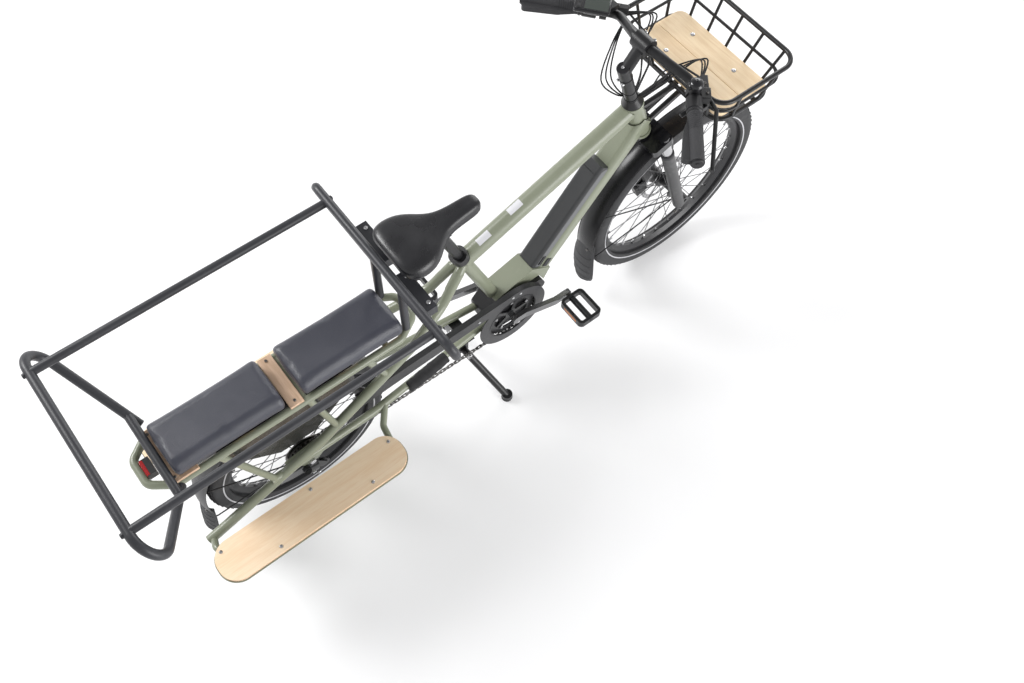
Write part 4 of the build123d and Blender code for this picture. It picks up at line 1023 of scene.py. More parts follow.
class Palette:
    """Every finish of the bike, each built once."""

    sage = Finish("sage_paint", (0.212, 0.230, 0.165), (0.236, 0.254, 0.186), 0.34, coat=0.25,
                  scuff_colour=(0.42, 0.44, 0.37), scuffs=0.06, grain_depth=0.00005).material()
    black_metal = Finish("satin_black_metal", (0.010, 0.010, 0.011), (0.016, 0.016, 0.018), 0.30,
                         scuff_colour=(0.06, 0.06, 0.06), scuffs=0.15, specular=0.4).material()
    gloss_black = Finish("gloss_black", (0.006, 0.006, 0.008), (0.010, 0.010, 0.012), 0.20, coat=0.2,
                         grain_depth=0.00002, scuffs=0.0).material()
    rail_grey = Finish("rail_coating", (0.028, 0.029, 0.034), (0.038, 0.039, 0.045), 0.36,
                       grain_depth=0.00007, scuff_colour=(0.10, 0.10, 0.11), specular=0.45).material()
    steel = Finish("bright_steel", (0.62, 0.62, 0.63), (0.48, 0.48, 0.49), 0.22, metallic=1.0,
                   grain_depth=0.00002, scuff_colour=(0.25, 0.25, 0.25)).material()
    dark_steel = Finish("chain_steel", (0.13, 0.125, 0.12), (0.24, 0.23, 0.22), 0.32, metallic=1.0,
                        cloud_scale=60.0, grain_depth=0.00003).material()
    arm = Finish("crank_arm_metal", (0.24, 0.24, 0.245), (0.30, 0.30, 0.305), 0.20, metallic=0.9,
                 grain_depth=0.00002, scuffs=0.05).material()
    tyre = Finish("tyre_rubber", (0.020, 0.020, 0.022), (0.032, 0.032, 0.034), 0.60, swing=0.15,
                  grain_scale=1500.0, scuff_colour=(0.07, 0.07, 0.07), scuffs=0.3).material()
    stripe = Finish("reflecting_stripe", (0.52, 0.52, 0.54), (0.60, 0.60, 0.62), 0.35, metallic=0.3,
                    grain_scale=2500.0).material()
    black_plastic = Finish("black_plastic", (0.010, 0.010, 0.011), (0.016, 0.016, 0.018), 0.36,
                           grain_scale=1400.0, grain_depth=0.0001, scuffs=0.04,
                           scuff_colour=(0.06, 0.06, 0.06), specular=0.4).material()
    guard_plastic = Finish("guard_plastic", (0.004, 0.004, 0.005), (0.007, 0.007, 0.008), 0.24,
                           grain_scale=700.0, grain_depth=0.00004, scuffs=0.0, specular=0.3).material()
    guard_grey = Finish("grey_guard_plastic", (0.050, 0.050, 0.052), (0.066, 0.066, 0.068), 0.42,
                        grain_scale=900.0, grain_depth=0.00006, scuffs=0.05).material()
    flap_rubber = Finish("flap_rubber", (0.030, 0.030, 0.033), (0.045, 0.045, 0.048), 0.62,
                         grain_scale=520.0, grain_depth=0.0003, crease=0.8, scuffs=0.0).material()
    battery_top = Finish("battery_top", (0.026, 0.027, 0.029), (0.034, 0.035, 0.037), 0.34,
                         grain_scale=1800.0, grain_depth=0.00008, scuffs=0.0).material()
    battery_side = Finish("battery_side", (0.118, 0.121, 0.126), (0.142, 0.146, 0.150), 0.42,
                          grain_scale=1600.0, grain_depth=0.00008, scuffs=0.0).material()
    grey_plastic = Finish("grey_plastic", (0.020, 0.020, 0.022), (0.028, 0.028, 0.030), 0.36,
                          grain_scale=1300.0, grain_depth=0.0001, scuffs=0.04,
                          scuff_colour=(0.08, 0.08, 0.08)).material()
    fork_grey = Finish("fork_grey", (0.046, 0.046, 0.048), (0.060, 0.060, 0.062), 0.38, metallic=0.2,
                       grain_depth=0.00004, scuffs=0.05).material()
    rubber = Finish("grip_rubber", (0.024, 0.024, 0.027), (0.036, 0.036, 0.039), 0.60, grain_scale=1100.0,
                    grain_depth=0.00025, crease=0.5, scuffs=0.0).material()
    pad = Finish("pad_leather", (0.042, 0.044, 0.060), (0.053, 0.055, 0.073), 0.32, swing=0.08,
                 cloud_scale=14.0, grain_scale=420.0, grain_depth=0.00018, crease=0.65, scuffs=0.0,
                 specular=0.6).material()
    saddle = Finish("saddle_cover", (0.012, 0.012, 0.014), (0.018, 0.018, 0.021), 0.25, swing=0.10,
                    cloud_scale=18.0, grain_scale=700.0, grain_depth=0.00008, crease=0.5,
                    scuffs=0.0).material()
    thread = Finish("dark_thread", (0.05, 0.05, 0.055), (0.07, 0.07, 0.075), 0.6, grain_scale=3000.0,
                    scuffs=0.0).material()
    neoprene = Finish("sleeve_cloth", (0.009, 0.009, 0.010), (0.014, 0.014, 0.016), 0.70,
                      grain_scale=2200.0, grain_depth=0.0002, crease=0.3, scuffs=0.0).material()
    blank_label = Finish("blank_label", (0.66, 0.66, 0.69), (0.60, 0.60, 0.63), 0.35, grain_depth=0.00001,
                         scuffs=0.0).material()
    red_lens = Finish("red_lens", (0.42, 0.006, 0.008), (0.33, 0.004, 0.006), 0.15, coat=0.4,
                      grain_depth=0.00001, scuffs=0.0).material()
    amber = Finish("amber_reflector", (0.55, 0.16, 0.015), (0.46, 0.12, 0.012), 0.2, coat=0.5,
                   grain_depth=0.00001, scuffs=0.0).material()
    screen = Finish("blank_screen", (0.035, 0.045, 0.038), (0.045, 0.055, 0.048), 0.10, coat=0.6,
                    grain_depth=0.000005, scuffs=0.0).material()
    violet_cap = Finish("violet_cap", (0.030, 0.026, 0.10), (0.045, 0.040, 0.14), 0.20, metallic=0.6,
                        grain_depth=0.00001, scuffs=0.0).material()
    smoke = Finish("smoked_plastic", (0.030, 0.029, 0.028), (0.042, 0.040, 0.038), 0.18, coat=0.3,
                   grain_depth=0.00002, scuffs=0.0, alpha=0.86).material()
    board_wood = WoodFinish("board_plywood", (0.98, 0.78, 0.56), (0.90, 0.66, 0.43),
                            (1.0, 14.0, 14.0)).material()
    slat_wood = WoodFinish("slat_plywood", (0.66, 0.46, 0.32), (0.50, 0.33, 0.21),
                           (14.0, 1.0, 14.0)).material()
    plank_wood = WoodFinish("basket_planks", (0.93, 0.74, 0.50), (0.80, 0.59, 0.36),
                            (14.0, 1.0, 14.0)).material()




PLAIN_NODES = (
    (Palette.sage, "head_tube top_tube down_tube motor_bay seat_tube rear_frame_right rear_frame_left rack"
                   " board_brackets"),
    (Palette.black_metal, "seatpost derailleur basket stand_mount stem handlebar chainring pedal_right"
                          " pedal_left centre_stand"),
    (Palette.black_plastic, "motor tail_light bar_controls cables"),
    (Palette.rail_grey, "front_hoop rear_hoop side_rails"),
    (Palette.pad, "seat_pad_front seat_pad_rear"),
    (Palette.tyre, "front_tyre rear_tyre"),
    (Palette.steel, "front_disc rear_disc"),
    (Palette.dark_steel, "chain sprockets"),
    (Palette.battery_top, "battery"),
    (Palette.saddle, "saddle"),
    (Palette.slat_wood, "deck"),
    (Palette.board_wood, "running_boards"),
    (Palette.plank_wood, "basket_floor"),
    (Palette.grey_plastic, "chain_cover"),
    (Palette.guard_grey, "rear_mudguard"),
    (Palette.guard_plastic, "front_mudguard"),
    (Palette.smoke, "wheel_skirts"),
    (Palette.gloss_black, "fork_upper"),
    (Palette.fork_grey, "fork_lowers"),
    (Palette.rubber, "grips"),
    (Palette.arm, "crank_arms"),
    (WheelFinish("front_wheel_finish", tuple(FRONT_AXLE), 0.2405).material(), "front_wheel"),
    (WheelFinish("rear_wheel_finish", tuple(REAR_AXLE), 0.1875).material(), "rear_wheel"),
)


def dress_nodes() -> None:
    """Gives every node of the frame its finish."""
    for material, names in PLAIN_NODES:
        for name in names.split():
            node = frame["nodes"][name]
            node.data.materials.clear()
            node.data.materials.append(material)


@dataclass
class Tyre:
    """One tyre: a rounded carcass, its tread blocks and the reflecting stripe on both walls."""

    node: str
    body: str
    axle: Vector
    bead: float
    blocks: int
    tread_height: float = 0.0022
    stripe_share: float = 0.855
    stripe_width: float = 0.0034
    stripe_lift: float = 0.0005
    roundness: float = 2.35
    crown_share: float = 0.22
    bead_reach: float = 0.016
    slack: float = 0.0004

    def __post_init__(self) -> None:
        """Reads the tyre's size from its node."""
        low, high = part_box(self.node)
        self.outer = (high.x - low.x) / 2
        self.half_width = (high.y - low.y) / 2 - self.slack
        self.crown = self.outer - self.tread_height
        self.widest = (self.crown + self.bead) / 2 + 0.002

    def fall(self, share: float) -> float:
        """Returns the height of the carcass's rounded section above its middle.

        Args:
            share: The place across it, from 0 in the middle to 1 at the edge.

        Returns:
            The height, from 1 in the middle to 0 at the edge.
        """
        return (1.0 - share ** self.roundness) ** (1 / self.roundness)

    def wall(self, radius: float) -> float:
        """Returns the half width of the carcass.

        Args:
            radius: The distance from the axle.

        Returns:
            The half width there.
        """
        height = self.crown - self.widest
        if radius <= self.widest:
            height = self.widest - self.bead + self.bead_reach
        return self.half_width * self.fall(min(abs(radius - self.widest) / height, 1.0))

    def build(self) -> None:
        """Builds the tyre and lets it stand for its node."""
        shape = Shape()
        steps = 11
        height = self.crown - self.bead
        radii = [self.bead + height * math.sin(math.pi / 2 * step / steps) for step in range(steps)]
        right = [(self.wall(radius), radius) for radius in radii]
        left = [(-side, radius) for side, radius in reversed(right)]
        flat = self.half_width * self.crown_share
        section = right + [(flat, self.crown), (-flat, self.crown)] + left
        shape.lathe(self.axle, ACROSS, section, LATHE_STEPS, looped=True)
        tyre = shape.finish(self.node + "_carcass", Palette.tyre, self.body, "tyre")
        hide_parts(self.node)
        self.tread()
        self.stripes()

    def tread(self) -> None:
        """Builds the tread blocks."""
        shape = Shape()
        pitch = math.tau * self.outer / self.blocks
        rows = ((0.0, 0.0085, 0.62, 0.0), (0.30, 0.0068, 0.66, 0.5), (-0.30, 0.0068, 0.66, 0.5),
                (0.56, 0.0060, 0.60, 0.0), (-0.56, 0.0060, 0.60, 0.0))
        slant, sunk, thick = 0.25, self.tread_height * 1.2, self.tread_height * 1.8
        for side_share, width, length_share, shift in rows:
            side = self.half_width * side_share
            lean = math.copysign(slant, side_share) if side_share else 0.0
            along = vec(0.0, lean, 1.0).normalized()
            across = vec(-self.slope(side), 1.0, 0.0).normalized()
            shape.block(vec(-self.depth(side) - sunk, side, pitch * shift),
                        vec(width, pitch * length_share, thick), across, along)
        ring_copies(self.node + "_tread", shape, self.blocks, self.axle, self.outer, self.body, "tyre",
                    Palette.tyre)

    def depth(self, side: float) -> float:
        """Returns how far the carcass has dropped below the crown.

        Args:
            side: The distance from its middle plane.

        Returns:
            The drop there.
        """
        return (self.crown - self.widest) * (1.0 - self.fall(min(abs(side) / self.half_width, 0.98)))

    def slope(self, side: float) -> float:
        """Returns the slope of the carcass.

        Args:
            side: The distance from its middle plane.

        Returns:
            The drop per distance sideways.
        """
        step = 0.0005
        return (self.depth(side + step) - self.depth(side - step)) / (2 * step)

    def stripes(self) -> None:
        """Builds the reflecting stripes."""
        shape = Shape()
        inner = self.outer * self.stripe_share
        outer = inner + self.stripe_width
        lift = self.stripe_lift
        corners = ((inner, -lift), (inner, lift), (outer, lift), (outer, -lift))
        for side in BOTH_SIDES:
            section = [(side * (self.wall(radius) + rise), radius) for radius, rise in corners]
            shape.lathe(self.axle, ACROSS, section, LATHE_STEPS, looped=True)
        shape.finish(self.node + "_stripes", Palette.stripe, self.body, "tyre")


@dataclass
class WheelTrim:
    """The nipples, the valve and the hub caps of one wheel."""

    name: str
    body: str
    axle: Vector
    rim: float
    axle_half: float
    spokes: int = 28
    valve_turn: float = 2.2

    def build(self) -> None:
        """Builds the small pieces of the wheel."""
        nipple = Shape()
        nipple.disc(vec(-0.012, 0, 0), vec(0.001, 0, 0), 0.0026, 8)
        ring_copies(self.name + "_nipples", nipple, self.spokes, self.axle, self.rim - 0.020, self.body,
                    "bright_metal", Palette.steel)
        valve = Shape()
        inward = vec(math.cos(self.valve_turn), 0, math.sin(self.valve_turn))
        root = self.axle + inward * (self.rim - 0.019)
        tip = self.axle + inward * (self.rim - 0.058)
        neck = root + (tip - root) * 0.35
        valve.disc(root, neck, 0.0042, 12)
        valve.disc(neck, tip, 0.0036, 12, 0.001)
        valve.finish(self.name + "_valve", Palette.black_plastic, self.body, "black_plastic")
        hub = Shape()
        for side in BOTH_SIDES:
            end = self.axle + ACROSS * side * self.axle_half
            hub.disc(end - ACROSS * side * 0.007, end + ACROSS * side * 0.0002, 0.0095, 6)
        hub.finish(self.name + "_axle_nuts", Palette.steel, self.body, "bright_metal", bevel=0.0008)


@dataclass
class BrakeDisc:
    """The painted shade of the vent holes and the bolts that show on one brake disc."""

    node: str
    body: str
    axle: Vector
    ring_radius: float = 0.0725
    bolt_radius: float = 0.022

    def build(self) -> None:
        """Builds dark blocks laid on both faces, painted shade that stands in for the vent holes, and the six
        bolts.
        """
        low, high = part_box(self.node)
        # Dark steel blocks through the disc paint the shade seen in its vent holes; the disc has no real
        # holes.
        vent_shade_blocks = Shape()
        for shift in (-0.0035, 0.0035):
            vent_shade_blocks.block(vec(shift, 0, 0.003 * math.copysign(1, shift)),
                        vec(0.0032, high.y - low.y + 0.0003, 0.0085))
        ring_copies(self.node + "_vents", vent_shade_blocks, 24, vec(self.axle.x, (low.y + high.y) / 2, self.axle.z),
                    self.ring_radius, self.body, "bright_metal", Palette.dark_steel)
        face = vec(self.axle.x, high.y, self.axle.z)
        spots = [(place, ACROSS) for place in bolt_circle(face, 6, self.bolt_radius, 0.4)]
        put_screws(self.node + "_bolts", spots, 0.0042, self.body, "bright_metal", Palette.steel)


@dataclass
class SeatPad:
    """One padded passenger seat, swollen by a short cloth simulation."""

    node: str
    margin: float = 0.0008
    top_margin: float = 0.0035
    edge: float = 0.026
    low_edge: float = 0.006
    cap: float = 0.0028
    voxel: float = 0.005
    pressure: float = 4.0
    swell_frames: int = 20

    def build(self) -> None:
        """Builds the pad."""
        low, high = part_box(self.node)
        self.low = low + vec(self.margin, self.margin, 0.0006)
        self.high = high - vec(self.margin, self.margin, self.top_margin)
        pad = self.body_piece()
        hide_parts(self.node)

    def outline(self, x: float, inset: float = 0.0) -> list[Vector]:
        """Returns the pad's section at a place along it.

        Args:
            x: The place along the bike.
            inset: How far it is drawn in.

        Returns:
            The points of the section.
        """
        low_z, high_z = self.low.z + inset, self.high.z - inset
        low_y, high_y = self.low.y + inset, self.high.y - inset
        edge = self.edge - inset
        points = []
        steps = 6
        for centre_y, first in ((high_y - edge, 0), (low_y + edge, 1)):
            for step in range(steps + 1):
                turn = math.pi / 2 * (first + step / steps)
                points.append(vec(x, centre_y + edge * math.cos(turn), high_z - edge + edge * math.sin(turn)))
        edges = [(self.low_edge * share, self.low_edge * (1 - share)) for share in (0.0, 0.5, 1.0)]
        points += [vec(x, low_y + inward, low_z + rise) for inward, rise in edges]
        points += [vec(x, high_y - inward, low_z + rise) for rise, inward in edges]
        return points

    def body_piece(self) -> bpy.types.Object:
        """Builds the stuffed body of the pad.

        Returns:
            The piece.
        """
        shape = Shape()
        ends = ((0.0, 0.0085), (0.0012, 0.0052), (0.0038, 0.0022), (0.0085, 0.0))
        places = [(self.low.x + along, inset) for along, inset in ends]
        inner = 20
        length = self.high.x - self.low.x - 2 * ends[-1][0]
        places += [(self.low.x + ends[-1][0] + length * step / inner, 0.0) for step in range(1, inner)]
        places += [(self.high.x - along, inset) for along, inset in reversed(ends)]
        shape.skin([self.outline(x, inset) for x, inset in places])
        mesh = shape.to_mesh(self.node + "_cushion")
        mesh = self.swell(mesh)
        return place_piece(self.node + "_cushion", mesh, Palette.pad, "frame", "pad_cover", subdivide=1,
                           sharp=60.0)

    def swell(self, mesh: bpy.types.Mesh) -> bpy.types.Mesh:
        """Swells the pad by cloth pressure and limits how far each point moves.

        Args:
            mesh: The pad's first mesh.

        Returns:
            The swollen mesh.
        """
        scene = bpy.context.scene
        cushion = bpy.data.objects.new(self.node + "_swelling", mesh)
        scene.collection.objects.link(cushion)
        remesh = cushion.modifiers.new("voxels", "REMESH")
        remesh.mode = "VOXEL"
        remesh.voxel_size = self.voxel
        graph = bpy.context.evaluated_depsgraph_get()
        even = bpy.data.meshes.new_from_object(cushion.evaluated_get(graph))
        cushion.modifiers.remove(remesh)
        cushion.data = even
        rest = [vertex.co.copy() for vertex in even.vertices]
        cloth = cushion.modifiers.new("swelling", "CLOTH")
        cloth.settings.use_pressure = True
        cloth.settings.uniform_pressure_force = self.pressure
        cloth.settings.effector_weights.gravity = 0.0
        cloth.point_cache.frame_start = 1
        cloth.point_cache.frame_end = self.swell_frames
        for number in range(1, self.swell_frames + 1):
            scene.frame_set(number)
        graph = bpy.context.evaluated_depsgraph_get()
        swollen = bpy.data.meshes.new_from_object(cushion.evaluated_get(graph))
        for vertex, start in zip(swollen.vertices, rest):
            move = vertex.co - start
            if move.length > self.cap:
                move = move.normalized() * self.cap
            vertex.co = start + move
            vertex.co.z = max(vertex.co.z, self.low.z)
        bpy.data.objects.remove(cushion)
        scene.frame_set(1)
        return swollen


@dataclass
class Saddle:
    """The rider's saddle, a moulded cover over a shell on two rails."""

    node: str = "saddle"
    stations: tuple[tuple[float, float, float, float], ...] = (
        (0.000, 0.52, 0.70, 0.30), (0.013, 0.74, 0.84, 0.18), (0.05, 0.90, 0.94, 0.08),
        (0.12, 0.99, 0.99, 0.02), (0.21, 1.00, 1.00, 0.00), (0.31, 0.94, 0.96, 0.02),
        (0.40, 0.78, 0.92, 0.05), (0.48, 0.57, 0.89, 0.10), (0.57, 0.405, 0.875, 0.14),
        (0.68, 0.335, 0.89, 0.17), (0.80, 0.31, 0.93, 0.19), (0.90, 0.295, 0.97, 0.22),
        (0.955, 0.26, 0.95, 0.27), (0.985, 0.20, 0.87, 0.34), (1.00, 0.12, 0.76, 0.42),
    )
    rim: tuple[tuple[float, float], ...] = (
        (1.0, 0.0), (1.0, 0.30), (0.97, 0.58), (0.86, 0.82), (0.62, 0.95), (0.3, 0.992), (0.0, 0.985),
    )

    def build(self) -> None:
        """Builds the cover, its edge seam, the shell below and the rails."""
        self.low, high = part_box(self.node)
        self.size = high - self.low
        shape = Shape()
        shape.skin([self.section(*row) for row in self.stations])
        cover = shape.finish("saddle_cover", Palette.saddle, "frame", "saddle_cover", subdivide=2,
                             sharp=180.0)
        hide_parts(self.node)
        self.edge_seam()
        self.shell()
        self.rails()

    def section(self, share: float, width: float, top: float, foot: float) -> list[Vector]:
        """Returns one section of the cover.

        Args:
            share: The place from the rear end to the nose.
            width: The share of the half width.
            top: The share of the height.
            foot: The share of the height at which its side ends.

        Returns:
            The points of the section.
        """
        x = self.low.x + self.size.x * share
        half = self.size.y / 2 * width
        top_z = self.low.z + self.size.z * top
        foot_z = self.low.z + self.size.z * foot
        points = [vec(x, half * side, foot_z + (top_z - foot_z) * rise) for side, rise in self.rim]
        left = [vec(point.x, -point.y, point.z) for point in reversed(points[:-1])]
        under = [vec(x, half * side, foot_z + 0.0035) for side in (-0.86, -0.4, 0.4, 0.86)]
        return points + left + under

    def edge_seam(self) -> None:
        """Builds the piping along the cover's lower edge."""
        right = [self.low + vec(self.size.x * share, self.size.y / 2 * (1 - width * 0.992),
                                self.size.z * (foot + (top - foot) * 0.20))
                 for share, width, top, foot in self.stations]
        left = [vec(point.x, -point.y, point.z) for point in reversed(right)]
        shape = Shape()
        shape.tube(right[1:-1] + left[1:-1], 0.0013, 8, closed=True)
        shape.finish("saddle_edge_seam", Palette.thread, "frame", "saddle_cover", subdivide=1, sharp=180.0)

    def shell(self) -> None:
        """Builds the plastic shell below the cover."""
        shape = Shape()
        rings = []
        for share, width, _, foot in self.stations[1:-1]:
            x = self.low.x + self.size.x * share
            half = self.size.y / 2 * width * 0.93
            z = self.low.z + self.size.z * foot
            rings.append([vec(x, half, z + 0.004), vec(x, -half, z + 0.004), vec(x, -half * 0.8, z),
                          vec(x, half * 0.8, z)])
        shape.skin(rings)
        shape.finish("saddle_shell", Palette.black_plastic, "frame", "black_plastic", bevel=0.001)

    def rails(self) -> None:
        """Builds the two steel rails between the shell and the seatpost's head."""
        corners = ((0.10, 0.045, 0.006), (0.24, 0.022, -0.004), (0.62, 0.022, -0.004), (0.86, 0.010, 0.010))
        paths = [rounded([vec(self.low.x + self.size.x * share, side * spread, self.low.z + rise)
                          for share, spread, rise in corners], 0.02, 5) for side in BOTH_SIDES]
        grow("saddle_rails", BARS, lines_mesh(paths), "frame", "black_metal", Palette.black_metal,
             Radius=0.0034, Sides=10)


@dataclass
class Battery:
    """The side plates, latch and lock of the battery on the down tube."""

    low: Vector
    angle: float = 53.3
    length: float = 0.348
    half_width: float = 0.029
    plate: float = 0.0012

    def __post_init__(self) -> None:
        """Finds the slope of the battery."""
        lean = math.radians(self.angle)
        self.along = vec(math.cos(lean), 0.0, math.sin(lean))
        self.inward = vec(math.sin(lean), 0.0, -math.cos(lean))

    def point(self, along: float, depth: float, side: float) -> Vector:
        """Returns a point of the battery.

        Args:
            along: The distance up its length.
            depth: The distance below its top face.
            side: The distance to the left.

        Returns:
            The point.
        """
        return self.low + self.along * along + self.inward * depth + ACROSS * side

    def build(self) -> None:
        """Builds the trim of the battery."""
        plates = Shape()
        for side in BOTH_SIDES:
            face = side * (self.half_width - 0.0004)
            end = self.length - 0.004
            corners = ((0.006, 0.010), (end - 0.012, 0.010), (end, 0.020), (end, 0.031), (0.006, 0.031))
            plates.prism([self.point(along, depth, face) for along, depth in corners],
                         ACROSS * side * self.plate)
        plates.finish("battery_side_plates", Palette.battery_side, "frame", "black_plastic", bevel=0.0005)
        trim = Shape()
        trim.block(self.point(0.028, 0.020, -self.half_width - 0.0012), vec(0.030, 0.004, 0.012),
                   self.along, ACROSS)
        trim.block(self.point(self.length - 0.028, -0.0003, 0.0), vec(0.0012, 0.046, 0.0012),
                   self.along, ACROSS)
        trim.finish("battery_latch", Palette.black_plastic, "frame", "black_plastic", bevel=0.0006)
        lock = Shape()
        centre = self.point(0.30, 0.040, self.half_width + 0.002)
        lock.disc(centre - ACROSS * 0.004, centre + ACROSS * 0.002, 0.009, 20, 0.001)
        lock.finish("battery_lock", Palette.steel, "frame", "bright_metal")
        port = Shape()
        port.block(self.point(0.02, 0.050, -0.0312), vec(0.030, 0.0016, 0.018), self.along, ACROSS)
        port.finish("charging_port_cover", Palette.black_plastic, "frame", "black_plastic", bevel=0.0006)


@dataclass
class TopTube:
    """The bare stickers on the top tube and the bends that join the rear tubes to the seat tube."""

    start: Vector
    end: Vector
    radius: float = 0.023
    patches: tuple[tuple[float, float, float, float], ...] = (
        (0.055, 0.094, -14.0, 34.0), (0.161, 0.202, -32.0, 22.0),
    )

    def __post_init__(self) -> None:
        """Finds the directions of the tube."""
        self.along = (self.end - self.start).normalized()
        self.upright = self.along.cross(ACROSS).normalized()
        if self.upright.z < 0:
            self.upright = -self.upright

    def skin_point(self, along: float, turn: float, lift: float) -> Vector:
        """Returns a point on the tube.

        Args:
            along: The distance from its rear end.
            turn: The turn from its top to the right.
            lift: The distance above its skin.

        Returns:
            The point.
        """
        reach = self.upright * math.cos(turn) - ACROSS * math.sin(turn)
        return self.start + self.along * along + reach * (self.radius + lift)

    def build(self) -> None:
        """Builds the stickers and the bends."""
        self.labels()
        self.bends()

    def labels(self) -> None:
        """Builds the bare stickers."""
        labels = Shape()
        foot, top, steps = -0.0004, 0.00025, 8
        for first, last, low_turn, high_turn in self.patches:
            turns = [math.radians(low_turn + (high_turn - low_turn) * step / steps)
                     for step in range(steps + 1)]
            corners = ((first, foot), (first, top), (last, top), (last, foot))
            labels.skin([[self.skin_point(along, turn, lift) for along, lift in corners] for turn in turns])
        labels.finish("blank_stickers", Palette.blank_label, "frame", "frame_paint")

    @staticmethod
    def bends() -> None:
        """Builds the bends between the seat tube and the two upper rear tubes."""
        bends = Shape()
        for side in BOTH_SIDES:
            corners = [vec(-0.050, 0.0, 0.602), vec(-0.077, side * 0.0135, 0.5885),
                       vec(-0.112, side * 0.0227, 0.5516)]
            bends.tube(rounded(corners, 0.020, 8), 0.0136, 24)
        bends.finish("rear_tube_bends", Palette.sage, "frame", "frame_paint", sharp=80.0)


@dataclass
class RackTrim:
    """The bolts of the boards, the clamp blocks, the passenger rails and the slats."""

    board_screws: tuple[tuple[float, float], ...] = (
        (-0.4180, 0.1620), (-0.5111, 0.2294), (-0.6475, 0.1504), (-0.7837, 0.2313), (-0.908, 0.1542),
    )

    def build(self) -> None:
        """Builds the slats, the bolts and the edge lines of the boards."""
        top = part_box("running_boards")[1].z
        spots = [(vec(x, side * y, top), UPWARD) for x, y in self.board_screws for side in BOTH_SIDES]
        put_screws("board_screws", spots, 0.0052, "frame", "bright_metal", Palette.steel)
        self.clamp_bolts()
        self.rail_nuts()
        self.slats()
        self.board_ends()

    def clamp_bolts(self) -> None:
        """Builds the bolts of the two clamp blocks on the low bar of the front hoop."""
        faces = ((-0.240, 0.766, UPWARD), (-0.228, 0.752, FORWARD))
        spots = [(vec(x, side * y, z), aim)
                 for side in BOTH_SIDES for y in (0.040, 0.124) for x, z, aim in faces]
        put_screws("clamp_bolts", spots, 0.0052, "frame", "bright_metal", Palette.steel, Head.SOCKET)

    def rail_nuts(self) -> None:
        """Builds the domed nuts where the side rails meet the hoops."""
        low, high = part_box("side_rails")
        middle = (low.z + high.z) / 2
        reach = (high.y - low.y) / 2 - 0.010
        spots = []
        for side in BOTH_SIDES:
            spots.append((vec(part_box("rear_hoop")[0].x + 0.0045, side * reach, middle), -FORWARD))
            spots.append((vec(-0.2712, side * reach, 0.812), FORWARD))
        put_screws("rail_nuts", spots, 0.0068, "frame", "rail_grey", Palette.rail_grey)

    def slats(self) -> None:
        """Builds the deck slats, of which those under the pads are shorter, and their bolts."""
        low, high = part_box("deck")
        middle_z = (low.z + high.z) / 2
        slats = Shape()
        for x, width, half in ((-0.866, 0.058, 0.075), (-0.720, 0.058, 0.060), (-0.583, 0.036, 0.075),
                               (-0.440, 0.058, 0.060), (-0.317, 0.058, 0.060)):
            slats.block(vec(x, 0.0, middle_z), vec(width, 2 * half, high.z - low.z))
        made = slats.finish("deck_slats", Palette.slat_wood, "frame", "wood", bevel=0.0012)
        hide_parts("deck")
        spots = [(vec(x, side * (high.y - 0.012), high.z), UPWARD)
                 for x in (-0.583, low.x + 0.0042) for side in BOTH_SIDES]
        put_screws("slat_bolts", spots, 0.0036, "frame", "bright_metal", Palette.dark_steel, Head.SOCKET)

    def board_ends(self) -> None:
        """Builds the rounded edge line that shows the plies along each running board."""
        low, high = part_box("running_boards")
        lift, corner, inner, outer = 0.0001, 0.050, 0.134, 0.246
        rear, front = low.x - lift, high.x + lift
        paths = []
        for side in BOTH_SIDES:
            for level in (0.32, 0.68):
                z = low.z + (high.z - low.z) * level
                corners = [vec(x, side * y, z)
                           for x, y in ((rear, inner), (front, inner), (front, outer), (rear, outer))]
                paths.append(rounded(corners, corner, 8, closed=True))
        grow("board_plies", BARS, lines_mesh(paths, closed=True), "frame", "wood", Palette.slat_wood,
             Radius=0.0007, Sides=6)


